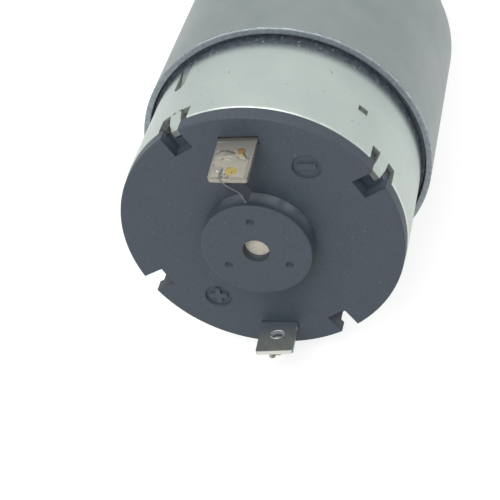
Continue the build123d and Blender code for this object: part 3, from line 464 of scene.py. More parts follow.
# %% Rolled steel: burr and nicks
# A bright burr at the rim and dark nicks beside it: distance from the rear end, where in the chips it
# starts and is full, its strength and its colour
RIM_LINES = [(0.17, 0.45, 0.55, 0.8, "#D5DAD8"), (0.33, 0.52, 0.58, 0.85, "#4A5259")]
RIM_LINE = 0.07
for ahead, start, full, strength, colour in RIM_LINES:
    line = add("Math", {0: along, 1: ring_rear + ahead * MM, 2: RIM_LINE * MM}, operation="COMPARE")
    chipped = add("MapRange", {"Value": chips, "From Min": start, "From Max": full, "To Max": strength})
    chipped = add("Math", {0: line, 1: chipped}, operation="MULTIPLY")
    layers.append((chipped, colour))
for mask, colour in layers:
    tone = add("Mix", {FACTOR: mask, FIRST: tone, SECOND: colour}, **COLOURS)
height = add("Bump", {"Height": fine, "Distance": 0.006 * MM})
gloss = add("MapRange", {"Value": sheared, "To Min": 0.52, "To Max": 0.6})
set_sockets(shader, {"Base Color": tone, "Roughness": gloss, "Normal": height, "Metallic": 0.9})
give(ring_steel, "flux_ring")

# %% [markdown]
# ## Where the lugs' blades lie
# Each blade leaves the cap, bends after 0.4 mm, leans in and a little aside.  A matrix carries a point from
# the flat blade, with its length along -X and its outer side up, to the bent blade on the motor.

# %% Blade places
LUG_BEND = 0.4
LUG_THICKNESS = 0.5
BLADE_LENGTH = 5.6
HALF_WIDTH = 2.325
lug_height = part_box("terminal_negative")[1].z - LUG_THICKNESS / 2 * MM


def blade_place(lean, side, shift, turn):
    """Carries the flat blade to its place on the motor."""
    bend = Matrix.Translation((cap_face - LUG_BEND * MM, shift * MM, lug_height))
    leaning = Matrix.Rotation(math.radians(-side), 4, "Z") @ Matrix.Rotation(math.radians(-lean), 4, "Y")
    return Matrix.Rotation(math.radians(-turn), 4, "X") @ bend @ leaning


negative_blade = blade_place(14.0, 3.2, 0.15, 0)
positive_blade = blade_place(7.5, 4.5, 0.2, 180)
print("negative tip at", [round(c / MM, 2) for c in negative_blade @ Vector((-BLADE_LENGTH * MM, 0, 0))])

# %% [markdown]
# ## The lugs
# The lugs are stamped from tinned brass.  Old tin is a dull olive grey, and only the sheared tip is bright:
# bare metal with a painted highlight on it.  Towards the root each lug gets painted shade, bluish on the
# positive lug as a painted reflection of the cap.  The mask of the tip, and of the root, is the distance along
# the blade.  The two lugs differ: the negative one is paler near its solder, so each gets its own pair of
# greys.

# %% Tinned brass
TIP_DEPTH = 0.1
ROOT_REACH = 3.5


def tinned_brass(name, node, blade, colours, root_shade_colour, tip_and_glint_colour):
    """Dull tin with painted shade towards the lug's root, and a bright sheared tip that is partly a painted
    highlight.
    """
    material, add, shader, place = start_material(name)
    stain = add("TexNoise", {"Vector": place, "Scale": per_size(0.9), "Detail": 5.0})
    spread = add("MapRange", {"Value": stain, "From Min": 0.3, "From Max": 0.7})
    from_bend = add("VectorMath", {0: place, 1: blade.translation}, operation="SUBTRACT")
    onward = add("VectorMath", {
        0: from_bend, 1: blade.to_3x3() @ Vector((-1, 0, 0))}, "Value", operation="DOT_PRODUCT")
    # Painted shade towards the root, and a bright tip that is partly a painted highlight
    root_shade = add("MapRange", {"Value": onward, "From Min": ROOT_REACH * MM, "From Max": 0.0})
    tip = add("Math", {0: onward, 1: (BLADE_LENGTH - TIP_DEPTH) * MM}, operation="GREATER_THAN")
    tone = colours[0]
    for mask, colour in ((spread, colours[1]), (root_shade, root_shade_colour), (tip, tip_and_glint_colour)):
        tone = add("Mix", {FACTOR: mask, FIRST: tone, SECOND: colour}, **COLOURS)
    height = add("Bump", {"Height": stain, "Distance": 0.01 * MM})
    set_sockets(shader, {"Base Color": tone, "Normal": height, "Metallic": 0.5, "Roughness": 0.45})
    give(material, node)


# Handled and heated tin: cloudy, half metal and half stain, with painted shade at the root and a tip that is
# partly a painted highlight
tinned_brass("tinned brass, stained", "terminal_negative", negative_blade,
             ("#85857C", "#9C9C91"), "#7C7D77", "#A9A598")
# Cleaned tin: an even, cooler grey, with painted shade at the root, blue as a painted reflection of the cap,
# and a tip that is partly a painted highlight
tinned_brass("tinned brass, dull", "terminal_positive", positive_blade,
             ("#858A88", "#959994"), "#707983", "#D6D9D0")

# %% [markdown]
# ## Pieces inside the motor
# These show only when the motor is taken apart, but each has its real material.  Most take the grained
# recipe, with the size and the direction of the grain that their making leaves.

# %% Metals and plastics inside the motor
# Porous and damp with oil: an uneven brown shine
give(grained("sintered bronze, oiled", ("#8A6A3E", "#A88654"), 0.2, (0.35, 0.6), relief=0.008),
     "rear_bush", "front_bush", "output_bush_rear", "output_bush_front")
# Golden and smooth, with faint rolling lines
give(grained("phosphor bronze spring strip", ("#B5854F", "#C89A62"), 0.5, (0.25, 0.4), stretch=(1, 0.1, 1)),
     "brush_arm_negative", "brush_arm_positive")
# Nearly black, dull and finely granular
give(grained("pressed carbon", ("#17181A", "#26272A"), 0.1, (0.55, 0.8), metallic=0.0, relief=0.006),
     "carbon_brush_negative", "carbon_brush_positive")
# Dark and stony
give(grained("sintered ferrite", ("#26272B", "#3A3B40"), 0.4, (0.5, 0.7), metallic=0.0, relief=0.01),
     "magnet_left", "magnet_right")
# A smooth blue-grey, from the oxide of hardening
give(grained("blued spring steel", ("#4A4E56", "#656A72"), 0.6, (0.25, 0.4)), "magnet_clips", "output_circlip")
# Milky, with a soft sheen
give(grained("moulded white nylon", ("#D8D4C4", "#E8E5D8"), 0.8, (0.4, 0.55), metallic=0.0),
     "armature_insulators", "commutator_hub", "rotor_spacers", "rotor_washers")
# Bright lines round it, from the tool and then the brushes
give(grained("commutator copper, turned", ("#9C5A36", "#C27E52"), 0.15, (0.2, 0.35), stretch=(1, 0.05, 0.05)),
     "commutator_segments")

# %% [markdown]
# The motor's shaft is ground rod, and its end shows in the window of the boss.  It was sawn off, so the end
# is pale and rough, with a few dark specks of grit.  The first 0.05 mm of the shaft is the mask.

# %% Shaft with a sawn end
# A clean sheen round the rod, and a chalky end
SAWN_DEPTH = 0.05
shaft_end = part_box("rotor_shaft")[0].x
sawn_shaft, add, shader, place = start_material("ground steel rod, end sawn off")
grain, grit = (
    add("TexNoise", {"Vector": place, "Scale": per_size(size), "Detail": detail})
    for size, detail in ((0.3, 4.0), (0.28, 1.0)))
specks = add("MapRange", {"Value": grit, "From Min": 0.63, "From Max": 0.68, "To Max": 0.75})
along = add("SeparateXYZ", {0: place}, "X")
sawn = add("Math", {0: along, 1: shaft_end + SAWN_DEPTH * MM}, operation="LESS_THAN")
end_tone = add("Mix", {FACTOR: grain, FIRST: "#D4CEBF", SECOND: "#EEE9DD"}, **COLOURS)
end_tone = add("Mix", {FACTOR: specks, FIRST: end_tone, SECOND: "#5E5B53"}, **COLOURS)
tone = add("Mix", {FACTOR: sawn, FIRST: "#CBC7BC", SECOND: end_tone}, **COLOURS)
gloss = add("MapRange", {"Value": sawn, "To Min": 0.24, "To Max": 0.6})
shine = add("MapRange", {"Value": sawn, "To Min": 1.0, "To Max": 0.3})
set_sockets(shader, {"Base Color": tone, "Roughness": gloss, "Metallic": shine})
give(sawn_shaft, "rotor_shaft")

# %% [markdown]
# The core is a stack of 0.5 mm sheets, so its lines run across the axis.  The windings are enamelled wire,
# whose turns show as lines at equal steps away from the shaft.  A wave texture draws both, and its scale
# comes from the real step.

# %% Stacked core sheets
# Grey with dark seams between the sheets
SHEET = 0.5
# At scale 1 the wave repeats after this length
WAVE_PERIOD = 2 * math.pi / 20
core_sheets, add, shader, place = start_material("stacked silicon steel sheets")
lines = add("TexWave", {
    "Vector": place, "Scale": WAVE_PERIOD * per_size(SHEET), "Distortion": 0.4}, "Fac", bands_direction="X")
tone = add("Mix", {FACTOR: lines, FIRST: "#3F4348", SECOND: "#777D84"}, **COLOURS)
height = add("Bump", {"Height": lines, "Distance": 0.03 * MM})
set_sockets(shader, {"Base Color": tone, "Normal": height, "Metallic": 0.9, "Roughness": 0.45})
give(core_sheets, "armature_core")

# %% Enamelled windings
# Red-brown and glassy: copper under a clear coat
WIRE = 0.45
enamelled, add, shader, place = start_material("enamelled copper wire")
across = add("VectorMath", {0: place, 1: (0, 1, 1)}, operation="MULTIPLY")
reach = add("VectorMath", {0: across}, "Value", operation="LENGTH")
turns = add("TexWave", {"Vector": reach, "Scale": WAVE_PERIOD * per_size(WIRE), "Distortion": 0.0}, "Fac")
tone = add("Mix", {FACTOR: turns, FIRST: "#5A2410", SECOND: "#B4572C"}, **COLOURS)
height = add("Bump", {"Height": turns, "Distance": 0.15 * MM})
set_sockets(shader, {
    "Base Color": tone, "Normal": height, "Metallic": 0.6, "Roughness": 0.25, "Coat Weight": 0.6})
give(enamelled, "armature_windings")

# %% [markdown]
# ## The gearhead
# The shafts are ground, the gears are cut and oiled, and the housing is turned, which leaves lines round
# it 0.12 mm apart.  The cover and the rear plate are die-cast zinc with a bead-blasted skin.  The screws are
# black oxide.  Stretching a grain along or across X is enough to tell turning from casting.

# %% Gearhead finishes
# Bright, with fine lines round it
give(grained("ground shaft steel", ("#C2BDB1", "#D3CFC5"), 0.1, (0.18, 0.3), stretch=(1, 0.05, 0.05)),
     "output_shaft")
# Wet grey flanks, with the cutter's lines along the teeth
give(grained("cut gear steel, oiled", ("#7E8186", "#989BA0"), 0.3, (0.2, 0.36), stretch=(0.1, 1, 1)),
     "motor_pinion", "stage_2_sun",
     *["stage_%d_planet_%s" % (stage, letter) for stage in (1, 2) for letter in "abc"])
# A plain mid grey, the same in all directions
give(grained("machined carrier steel", ("#74777C", "#8C9095"), 0.25, (0.28, 0.42)),
     "stage_1_carrier", "stage_1_pins", "stage_2_carrier", "stage_2_pins")
# Silvery, with a sheen that runs round it
give(grained("turned housing steel", ("#9EA3A5", "#B2B7B8"), 0.12, (0.26, 0.42), stretch=(1, 0.02, 0.02)),
     "ring_gear_housing")
# Pale and matt, with fine dimples
give(grained("die-cast zinc, blasted", ("#A4A8AA", "#B9BDBE"), 0.22, (0.42, 0.58), relief=0.012),
     "gearhead_rear_plate", "front_cover")
# Nearly black, with a low oily shine
give(grained("black oxide steel", ("#1E2023", "#34373B"), 0.2, (0.32, 0.48), metallic=0.8),
     "motor_screws", "rear_plate_screws", "cover_screws")
# Clean and bright
give(grained("plain washer steel", ("#A9ADB0", "#C3C6C8"), 0.4, (0.25, 0.4)), "thrust_washer", "output_washer")

# %% [markdown]
# ## Modelling helpers
# The pieces below are shaped in edit mode.  A pull moves one spot and lets its neighbours follow less and
# less, as a thumb does in clay.  At the end, a piece's place goes into its mesh, its shading is smoothed, and
# it rides on the housing.

# %% Pull and finish
edit_settings = bpy.context.scene.tool_settings
edit_settings.mesh_select_mode = (True, False, False)


def drag(move, reach, falloff):
    """Moves what is selected, in millimetres, and what is within reach of it by less."""
    bpy.ops.transform.translate(
        value=Vector(move) * MM, use_proportional_edit=True,
        proportional_edit_falloff=falloff, proportional_size=reach * MM)


def pull(piece, spot, reach, move):
    """Drags what lies nearest a spot."""
    bpy.ops.mesh.select_all(action="DESELECT")
    mesh = bmesh.from_edit_mesh(piece.data)
    aim = Vector(spot) * MM
    nearest = min(mesh.verts, key=lambda vertex: (vertex.co.xy - aim.xy).length_squared)
    nearest.select_set(True)
    bmesh.update_edit_mesh(piece.data)
    drag(move, reach, "SMOOTH")


def finish_piece(piece, name, material, angle=60):
    """Applies the place, smooths the shading, and lets the piece ride on the housing."""
    piece.name = name
    bpy.ops.object.transform_apply(location=True, rotation=True, scale=True)
    bpy.ops.object.shade_smooth_by_angle(angle=math.radians(angle))
    piece.data.materials.append(material)
    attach(piece, "housing")
    piece.select_set(False)
    print(name, "has", len(piece.data.polygons), "faces")


print("edit mode selects vertices")

# %% [markdown]
# ## The old solder
# A lead was once soldered to the negative lug, and the solder stayed.  It froze in lobes, with an arch over
# the lug's hole, a torn crack across, and a crease down to the tip.  It starts as a fine flat grid.  Broad
# pulls give the lobes, small ones along a line give the arch and the cracks, and its rim is let down at the
# end, so that it lies on the lug as a drop does.

# %% Solder: the lobes and hollows
SOLDER_START = 1.1
SOLDER_END = 5.62
SOLDER_LEFT = HALF_WIDTH + 0.05
SOLDER_RIGHT = HALF_WIDTH - 0.02
SOLDER_BASE = 0.14
SOLDER_STEPS = 64
bpy.ops.mesh.primitive_grid_add(x_subdivisions=SOLDER_STEPS, y_subdivisions=SOLDER_STEPS, size=MM)
solder = bpy.context.object
bpy.ops.object.mode_set(mode="EDIT")
bpy.ops.transform.resize(value=(SOLDER_END - SOLDER_START, SOLDER_LEFT + SOLDER_RIGHT, 1))
solder_middle = Vector((
    -(SOLDER_START + SOLDER_END) / 2, (SOLDER_LEFT - SOLDER_RIGHT) / 2, LUG_THICKNESS / 2 + SOLDER_BASE))
bpy.ops.transform.translate(value=solder_middle * MM)
# Distance from the bend, distance to the left, reach and lift
LOBES = [
    (4.1, -0.6, 2.6, 0.24), (4.8, 1.35, 1.1, 0.2), (4.9, -1.4, 1.0, 0.1), (3.1, 1.5, 0.9, 0.12),
    (2.5, 0.5, 0.7, 0.16), (2.4, 1.6, 0.6, 0.12), (1.85, 0.8, 0.7, -0.04), (1.85, 0.15, 0.6, -0.04),
    (1.3, -1.5, 1.1, -0.35), (2.2, -1.9, 0.6, -0.25), (5.3, -0.6, 0.5, 0.1),
    (5.3, -1.5, 0.4, 0.08), (2.0, 2.1, 0.16, -0.14), (3.0, 2.1, 0.16, -0.14), (3.55, 1.9, 0.16, -0.14),
    (4.9, 2.1, 0.16, -0.14), (5.1, -2.0, 0.16, -0.14),
]
for onward, left, reach, lift in LOBES:
    pull(solder, (-onward, left), reach, (0, 0, lift))
print(len(LOBES), "pulls")

# %% Solder: the arch, cracks and creases
LINE_STEP = 0.09
# Corners of each line, with its reach and lift
LINES = [
    ([(1.95, 1.95), (1.6, 1.6), (1.46, 1.1), (1.5, 0.5), (1.68, 0.0), (1.95, -0.35)], 0.24, -0.06),
    ([(2.95, 1.35), (2.62, 0.95), (2.5, 0.35), (2.66, -0.1)], 0.17, -0.16),
    ([(2.4, -0.6), (2.75, -0.95), (2.78, -1.75)], 0.18, -0.16),
    ([(3.85, 0.72), (4.4, 0.8), (5.0, 0.66), (5.65, 0.56)], 0.2, -0.17),
    ([(4.3, 0.25), (4.9, 0.3), (5.65, 0.28)], 0.22, -0.12),
    ([(5.15, -0.02), (5.4, 0.02), (5.65, 0.06)], 0.24, -0.22),
    ([(3.3, 1.75), (3.6, 1.5)], 0.15, -0.08),
]
for corners, reach, lift in LINES:
    for start, end in zip(corners, corners[1:]):
        start, end = Vector(start), Vector(end)
        steps = max(1, round((end - start).length / LINE_STEP))
        for step in range(steps):
            spot = start.lerp(end, step / steps)
            pull(solder, (-spot.x, spot.y), reach, (0, 0, lift / 2))
print(len(LINES), "lines drawn")

# %% [markdown]
# The finish of solder follows its height: the tops stay pale, and the hollows turn dark with burnt flux and
# painted shade.
# So each point's height above the lug is kept as an attribute now, before the rim is let down, and the
# material reads it later.

# %% Solder: keep the heights
bpy.ops.object.mode_set(mode="OBJECT")
kept_height = solder.data.attributes.new("height", "FLOAT", "POINT")
for vertex, value in zip(solder.data.vertices, kept_height.data):
    value.value = vertex.co.z / MM - LUG_THICKNESS / 2
print("lowest", round(min(value.value for value in kept_height.data), 2), "mm")

# %% [markdown]
# All round, the rim is let down into the lug.  On the left and at the tip the solder ran over the edge, so
# there the rim goes on down the side of the lug, and the two corners of the tip are drawn in.

# %% Solder: the rim
RIM_DROP = 0.26
RIM_REACH = 0.3
WRAP_DROP = 0.2
WRAP_REACH = 0.28
CORNER_DRAWN = 0.18
CORNER_REACH = 0.5
EDGE_MARGIN = 0.01
bpy.ops.object.mode_set(mode="EDIT")
bpy.ops.mesh.select_all(action="SELECT")
bpy.ops.mesh.region_to_loop()
drag((0, 0, -RIM_DROP), RIM_REACH, "SPHERE")
bpy.ops.mesh.select_all(action="DESELECT")
mesh = bmesh.from_edit_mesh(solder.data)
for vertex in mesh.verts:
    at_left = vertex.co.y > (SOLDER_LEFT - EDGE_MARGIN) * MM
    at_tip = vertex.co.x < -(SOLDER_END - EDGE_MARGIN) * MM
    vertex.select_set(at_left or at_tip)
bmesh.update_edit_mesh(solder.data)
drag((0, 0, -WRAP_DROP), WRAP_REACH, "SPHERE")
for corner, inward in ((SOLDER_LEFT, -CORNER_DRAWN), (-SOLDER_RIGHT, CORNER_DRAWN)):
    pull(solder, (-SOLDER_END, corner), CORNER_REACH, (CORNER_DRAWN, inward, 0))
print("rim let down by", RIM_DROP, "mm, and by", WRAP_DROP, "mm more at the left and the tip")

# %% [markdown]
# The sheet becomes a body: it is extruded down into the lug and its underside is pressed flat.  A light
# displacement then wrinkles its skin.

# %% Solder: thickness and wrinkles
SOLDER_SUNK = 0.5
WRINKLE_SIZE = 0.7
WRINKLE_HEIGHT = 0.04
edit_settings.mesh_select_mode = (False, False, True)
bpy.ops.mesh.select_all(action="SELECT")
bpy.ops.mesh.extrude_region_move(TRANSFORM_OT_translate={"value": (0, 0, -2 * SOLDER_SUNK * MM)})
bpy.ops.transform.resize(value=(1, 1, 0))
mesh = bmesh.from_edit_mesh(solder.data)
floor_of_solder = next(face for face in mesh.faces if face.select).calc_center_median().z
bpy.ops.transform.translate(value=(0, 0, (LUG_THICKNESS / 2 - SOLDER_SUNK) * MM - floor_of_solder))
bpy.ops.mesh.select_all(action="SELECT")
bpy.ops.mesh.normals_make_consistent(inside=False)
edit_settings.mesh_select_mode = (True, False, False)
bpy.ops.object.mode_set(mode="OBJECT")
wrinkles = bpy.data.textures.new("solder wrinkles", "CLOUDS")
wrinkles.noise_scale = WRINKLE_SIZE * MM
modifier = solder.modifiers.new("wrinkles", "DISPLACE")
modifier.texture = wrinkles
modifier.strength = WRINKLE_HEIGHT * MM
bpy.ops.object.modifier_apply(modifier=modifier.name)
print("solder", [round(c / MM, 2) for c in solder.dimensions], "mm")

# %% Solder: finish
# Old solder: a dull warm grey, half metal, and dark in the hollows from burnt flux and painted shade
CLEAN_ABOVE = 0.16
DARK_BELOW = 0.05
tin_lead, add, shader, place = start_material("tin-lead solder, frozen")
height = add("Attribute", {}, "Fac", attribute_name="height")
stain = add("TexNoise", {"Vector": place, "Scale": per_size(0.6), "Detail": 4.0})
tone = add("Mix", {FACTOR: stain, FIRST: "#8F8B80", SECOND: "#ABA79B"}, **COLOURS)
# Darker in the hollows: burnt flux and painted shade
burnt = add("MapRange", {"Value": height, "From Min": CLEAN_ABOVE, "From Max": DARK_BELOW, "To Max": 0.9})
tone = add("Mix", {FACTOR: burnt, FIRST: tone, SECOND: "#4A4A44"}, **COLOURS)
set_sockets(shader, {"Base Color": tone, "Metallic": 0.35, "Roughness": 0.5})
solder.matrix_world = negative_blade
finish_piece(solder, "solder_negative", tin_lead, 80)

# %% [markdown]
# ## Flux
# Rosin flux dries to small glassy drops: a yellow one near the tip, a brown one beside the hole, and a small
# bright one below that.  Two beads of bright tin lie beside the yellow drop; their near-white colour is partly
# a painted highlight.  Each starts as an icosphere, is pressed flat, and gets a few pulls, so that no two are
# alike.

# %% Rosin and drops


def rosin(name, dark, light):
    """Dried rosin: glassy and slightly cloudy."""
    material, add, shader, place = start_material(name)
    clouds = add("TexNoise", {"Vector": place, "Scale": per_size(0.45), "Detail": 3.0})
    tone = add("Mix", {FACTOR: clouds, FIRST: dark, SECOND: light}, **COLOURS)
    set_sockets(shader, {"Base Color": tone, "Roughness": 0.18, "IOR": 1.54})
    return material


def drop(blade, name, material, spot, size, pulls):
    """A small frozen drop on a blade.  Spot and size are in millimetres, along, left and up."""
    bpy.ops.mesh.primitive_ico_sphere_add(subdivisions=4, radius=MM / 2)
    piece = bpy.context.object
    bpy.ops.object.mode_set(mode="EDIT")
    bpy.ops.transform.resize(value=size)
    for onward, left, reach, move in pulls:
        pull(piece, (onward, left), reach, move)
    bpy.ops.mesh.select_all(action="SELECT")
    bpy.ops.mesh.vertices_smooth(factor=0.4, repeat=2)
    bpy.ops.object.mode_set(mode="OBJECT")
    piece.matrix_world = blade @ Matrix.Translation(Vector((-spot[0], spot[1], spot[2])) * MM)
    finish_piece(piece, name, material, 80)


# All are glassy: amber is a pale yellow, brown was heated longer, and charred rosin is nearly black
amber = rosin("rosin flux, amber", "#8C7C3C", "#AC9C5C")
brown = rosin("rosin flux, burnt brown", "#634C30", "#806643")
ember = rosin("rosin flux, charred", "#4A1F12", "#6A3220")
# Fresh tin mirrors the tent; its near-white colour is partly a painted highlight
glinting_tin = grained("tin, bright", ("#C9CCC6", "#F0F0EA"), 0.3, (0.22, 0.36), metallic=0.6)
print("four finishes for drops, from", amber.name, "to", glinting_tin.name)

# %% Drops on the negative lug
lug_top = LUG_THICKNESS / 2
solder_top = lug_top + 0.25
# Name, material, spot, size and pulls
NEGATIVE_DROPS = [
    ("flux_yellow", amber, (4.62, -0.5, solder_top), (1.3, 1.75, 0.42),
     [(0.5, 0.5, 0.5, (0.1, 0.12, 0)), (-0.5, -0.5, 0.4, (-0.08, -0.1, 0)), (0.1, 0.3, 0.4, (0, 0, 0.06))]),
    ("flux_speck", ember, (4.9, -0.55, solder_top + 0.17), (0.16, 0.16, 0.12),
     [(0.05, 0.05, 0.08, (0.03, 0.02, 0)), (-0.05, 0, 0.08, (-0.02, -0.03, 0))]),
    ("flux_brown", brown, (1.62, -0.85, lug_top + 0.08), (1.1, 0.95, 0.26),
     [(0.3, 0.3, 0.3, (0.1, 0.06, 0)), (-0.35, -0.2, 0.3, (-0.08, -0.1, 0))]),
    ("flux_bright", amber, (2.2, -0.95, lug_top + 0.17), (0.42, 0.6, 0.24),
     [(0.0, 0.25, 0.2, (0, 0.1, 0)), (0.2, -0.2, 0.2, (0.08, -0.04, 0))]),
    ("solder_ball", glinting_tin, (4.68, 1.22, solder_top + 0.06), (0.26, 0.26, 0.24),
     [(0.1, 0.05, 0.12, (0.03, 0.02, 0)), (-0.08, -0.08, 0.12, (-0.03, -0.02, 0.02))]),
    ("solder_ball_small", glinting_tin, (4.75, 0.38, solder_top + 0.02), (0.2, 0.16, 0.16),
     [(0.08, 0.03, 0.1, (0.03, 0, 0)), (-0.05, -0.06, 0.1, (-0.02, -0.02, 0.01))]),
]
for row in NEGATIVE_DROPS:
    drop(negative_blade, *row)

# %% [markdown]
# ## The scrap of sleeve
# A torn scrap of the lead's black sleeve still hangs from the lug's tip and ends on the boss, with one bare
# strand along its lower edge.  Its dark colour is also a painted shadow: it lies where the lug's shadow falls
# on the cap.  The scrap is one edge, extruded step by step, then thickened.  The strand is a curve with a
# round section, turned to a mesh.

# %% Sleeve scrap: its edges
# Distance behind the cap, distance to the left and height, for the lower edge and the upper edge
SCRAP_LOWER = [(5.75, 1.05, 12.78), (5.2, 0.9, 11.86), (4.7, 0.57, 11.05), (4.2, 0.13, 10.24),
               (3.6, -0.05, 9.34), (3.0, -0.06, 8.2), (2.5, 0.0, 7.3)]
SCRAP_UPPER = [(5.75, -0.6, 12.78), (5.35, -1.05, 12.2), (4.95, -1.45, 11.55), (4.4, -1.6, 10.7),
               (3.8, -1.35, 9.7), (3.1, -0.8, 8.5), (2.5, -0.15, 7.35)]


def behind_cap(back, left, height):
    """Point measured from the middle of the cap's face."""
    return Vector((cap_face - back * MM, left * MM, height * MM))


def move_selected_to(piece, places):
    """Moves each selected vertex to its own place."""
    mesh = bmesh.from_edit_mesh(piece.data)
    chosen = [vertex.index for vertex in mesh.verts if vertex.select]
    for index, place in zip(chosen, places):
        mesh = bmesh.from_edit_mesh(piece.data)
        mesh.verts.ensure_lookup_table()
        bpy.ops.mesh.select_all(action="DESELECT")
        mesh.verts[index].select_set(True)
        bmesh.update_edit_mesh(piece.data)
        bpy.ops.transform.translate(value=place - mesh.verts[index].co)
    mesh = bmesh.from_edit_mesh(piece.data)
    mesh.verts.ensure_lookup_table()
    for index in chosen:
        mesh.verts[index].select_set(True)
    mesh.select_flush(True)
    bmesh.update_edit_mesh(piece.data)


rows = [[behind_cap(*spot) for spot in row] for row in zip(SCRAP_LOWER, SCRAP_UPPER)]
print("scrap", round(sum((b[0] - a[0]).length for a, b in zip(rows, rows[1:])) / MM, 1), "mm long")

# %% Sleeve scrap: extruded and thickened
SCRAP_THICKNESS = 0.14
bpy.ops.mesh.primitive_plane_add(size=MM)
scrap = bpy.context.object
bpy.ops.object.mode_set(mode="EDIT")
bpy.ops.mesh.select_all(action="DESELECT")
mesh = bmesh.from_edit_mesh(scrap.data)
for vertex in mesh.verts:
    vertex.select_set(vertex.co.x > 0)
mesh.select_flush(True)
bmesh.update_edit_mesh(scrap.data)
bpy.ops.mesh.delete(type="VERT")
bpy.ops.mesh.select_all(action="SELECT")
move_selected_to(scrap, rows[0])
for row in rows[1:]:
    bpy.ops.mesh.extrude_region_move(TRANSFORM_OT_translate={"value": (0, 0, 0)})
    move_selected_to(scrap, row)
bpy.ops.mesh.select_all(action="SELECT")
bpy.ops.mesh.subdivide(number_cuts=3, smoothness=0.8)
bpy.ops.mesh.normals_make_consistent(inside=False)
bpy.ops.object.mode_set(mode="OBJECT")
modifier = scrap.modifiers.new("sleeve wall", "SOLIDIFY")
modifier.thickness = SCRAP_THICKNESS * MM
modifier.offset = 0
bpy.ops.object.modifier_apply(modifier=modifier.name)
# Soft plastic: dark, rough and hardly shiny, its dark slate also a painted shadow of the lug
sleeve = grained(
    "black PVC sleeve, torn", ("#343B44", "#3F4750"), 0.4, (0.45, 0.65), metallic=0.0, relief=0.03)
set_sockets(sleeve.node_tree.nodes["Principled BSDF"], {"Specular IOR Level": 0.15})
finish_piece(scrap, "sleeve_scrap", sleeve)

# %% Bare strand
STRAND_R = 0.13
# The strand starts in the solder: distance from the bend, to the left and up on the blade
STRAND_START = [(-4.3, 0.8, 0.5), (-5.2, 0.95, 0.51), (-5.66, 0.8, 0.32)]
strand_spots = [negative_blade @ (Vector(spot) * MM) for spot in STRAND_START]
strand_spots += [behind_cap(*spot) for spot in SCRAP_LOWER[1:]]
bpy.ops.curve.primitive_nurbs_path_add()
strand = bpy.context.object
spline = strand.data.splines[0]
spline.points.add(len(strand_spots) - len(spline.points))
for point, spot in zip(spline.points, strand_spots):
    point.co = (*spot, 1)
spline.order_u = 3
spline.use_endpoint_u = True
strand.data.bevel_depth = STRAND_R * MM
strand.data.bevel_resolution = 3
strand.data.use_fill_caps = True
bpy.ops.object.convert(target="MESH")
strand = bpy.context.object
# Tin that has gone grey, blotched by flux
old_strand = grained("tinned copper strand, dull", ("#5A5F64", "#8C9194"), 0.5, (0.4, 0.6), metallic=0.3)
finish_piece(strand, "lead_strand", old_strand)

# %% [markdown]
# ## The positive lug
# This lug was cleaned, but it keeps a worn rim round its punched hole, a lip of tin in the hole, two burnt
# beads of solder on its tip and a burr on its right edge.  The rim, the lip and the burr are bright tin, whose
# near-white colour is partly a painted highlight.  The rim is a torus that is pressed flat, sunk by half and
# pushed right under at its sides; the others are drops.

# %% Rim of the hole
HOLE_REACH = 2.1
HOLE_R = 0.8
RIM_OUTSIDE_HOLE = 0.06
RIM_R = 0.09
RIM_SUNK = 0.07
bpy.ops.mesh.primitive_torus_add(
    major_radius=(HOLE_R + RIM_OUTSIDE_HOLE) * MM, minor_radius=RIM_R * MM,
    major_segments=64, minor_segments=12)
rim = bpy.context.object
bpy.ops.object.mode_set(mode="EDIT")
bpy.ops.mesh.select_all(action="SELECT")
bpy.ops.transform.resize(value=(1, 1, 0.6))
pull(rim, (0.6, 0.6), 0.5, (0.03, 0.02, 0.02))
for spot in ((0.0, 0.86), (-0.55, 0.66), (0.2, -0.84), (-0.2, -0.84)):
    pull(rim, spot, 0.35, (0, 0, RIM_SUNK))
bpy.ops.object.mode_set(mode="OBJECT")
inner_side = -LUG_THICKNESS / 2
rim.matrix_world = positive_blade @ Matrix.Translation(Vector((-HOLE_REACH, 0, inner_side)) * MM)
finish_piece(rim, "hole_rim_positive", glinting_tin)

# %% Drops on the positive lug
# Overheated solder: black crust with bright metal between
burnt_solder = grained(
    "tin-lead solder, burnt", ("#3F3E3A", "#B8B3A4"), 0.3, (0.3, 0.5), metallic=0.3, relief=0.05)
POSITIVE_DROPS = [
    ("hole_lip_positive", glinting_tin, (HOLE_REACH + 0.55, 0.1, inner_side + 0.12), (0.3, 0.8, 0.2),
     [(0.05, 0.3, 0.2, (0.06, 0.05, 0)), (0.05, -0.3, 0.2, (0.06, -0.04, 0))]),
    ("solder_bead_positive", burnt_solder, (BLADE_LENGTH - 0.38, -0.31, 0.52), (0.7, 0.9, 1.05),
     [(0.2, 0.2, 0.25, (0.05, 0.08, 0.04)), (-0.2, -0.2, 0.3, (-0.04, -0.06, 0))]),
    ("solder_bead_small", burnt_solder, (BLADE_LENGTH - 0.2, 0.42, 0.3), (0.34, 0.9, 0.5),
     [(0.1, 0.1, 0.15, (0.03, 0.05, 0)), (0.0, 0.3, 0.2, (0.04, 0.12, 0))]),
    ("burr_positive", glinting_tin, (1.0, HALF_WIDTH, inner_side + 0.04), (0.75, 0.12, 0.16),
     [(0.3, 0, 0.2, (0.05, 0.04, 0))]),
]
for row in POSITIVE_DROPS:
    drop(positive_blade, *row)

# %% [markdown]
# ## Crumbs of locking wax
# The slot to the left of the upper left tab holds crumbs of the wax that locked the cap, and a few crumbs of
# solder that stuck to it.  One crumb is a cube, bevelled and knocked about; the others are copies, each
# turned, scaled and given its own mesh.

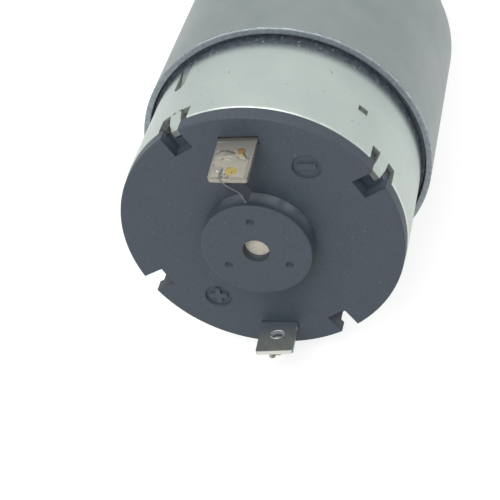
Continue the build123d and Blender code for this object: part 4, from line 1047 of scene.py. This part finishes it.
# %% First crumb
CRUMB_BEVEL = 0.28
KNOCK_REACH = 0.5
bpy.ops.mesh.primitive_cube_add(size=MM)
first_crumb = bpy.context.object
bpy.ops.object.mode_set(mode="EDIT")
bpy.ops.mesh.select_all(action="SELECT")
bpy.ops.mesh.bevel(offset=CRUMB_BEVEL * MM, segments=3, affect="EDGES")
bpy.ops.mesh.subdivide(number_cuts=2)
KNOCKS = [((0.4, 0.3), (0.15, 0.1, 0.1)), ((-0.4, 0.35), (-0.05, 0.12, -0.1)), ((0.1, -0.5), (0, -0.15, 0.1))]
for corner, move in KNOCKS:
    pull(first_crumb, corner, KNOCK_REACH, move)
bpy.ops.object.mode_set(mode="OBJECT")
first_crumb.select_set(False)
print("a crumb of", len(first_crumb.data.polygons), "faces, knocked", len(KNOCKS), "times")

# %% Wax crumbs
WAX_RADIUS = 16.95
BEAD_RADIUS = 17.25
CRUMB_SPIN = 1.9
CRUMB_TILT = 0.8
# Dry and dusty: nearly black, with grey on what stands up
wax = grained("locking wax, dusty", ("#25292B", "#4C5052"), 0.35, (0.45, 0.7), metallic=0.0, relief=0.05)
# Distance in front of the can's rear end, angle past the tab's middle and size, for wax and for solder
WAX_CRUMBS = [(0.3, 4.6, 0.75), (1.0, 4.2, 0.7), (1.7, 5.2, 0.8), (0.1, 5.9, 0.6), (1.1, 5.7, 0.85),
              (2.1, 4.4, 0.55), (-0.35, 4.9, 0.5)]
SOLDER_CRUMBS = [(-0.3, 6.2, 0.34), (-0.5, 4.6, 0.2), (0.9, 5.4, 0.24)]
crumbs = [(*row, WAX_RADIUS, wax) for row in WAX_CRUMBS]
crumbs += [(*row, BEAD_RADIUS, tin_lead) for row in SOLDER_CRUMBS]
crumb_meshes = [first_crumb.data] + [first_crumb.data.copy() for crumb in crumbs[1:]]
for index, ((ahead, past, size, radius, material), mesh) in enumerate(zip(crumbs, crumb_meshes)):
    crumb = first_crumb if index == 0 else bpy.data.objects.new("wax", mesh)
    if index:
        bpy.context.scene.collection.objects.link(crumb)
    crumb.select_set(True)
    bpy.context.view_layer.objects.active = crumb
    turn = Matrix.Rotation(math.radians(-(TAB_ANGLE + past)), 4, "X")
    seat = Matrix.Translation(Vector((0, 0, radius * MM)))
    spin = Matrix.Rotation(index * CRUMB_SPIN, 4, "Z") @ Matrix.Rotation(index * CRUMB_TILT, 4, "Y")
    ahead = Matrix.Translation((can_rear + ahead * MM, 0, 0))
    crumb.matrix_world = ahead @ turn @ seat @ spin @ Matrix.Scale(size, 4)
    finish_piece(crumb, "wax_crumb_%d" % (index + 1), material)
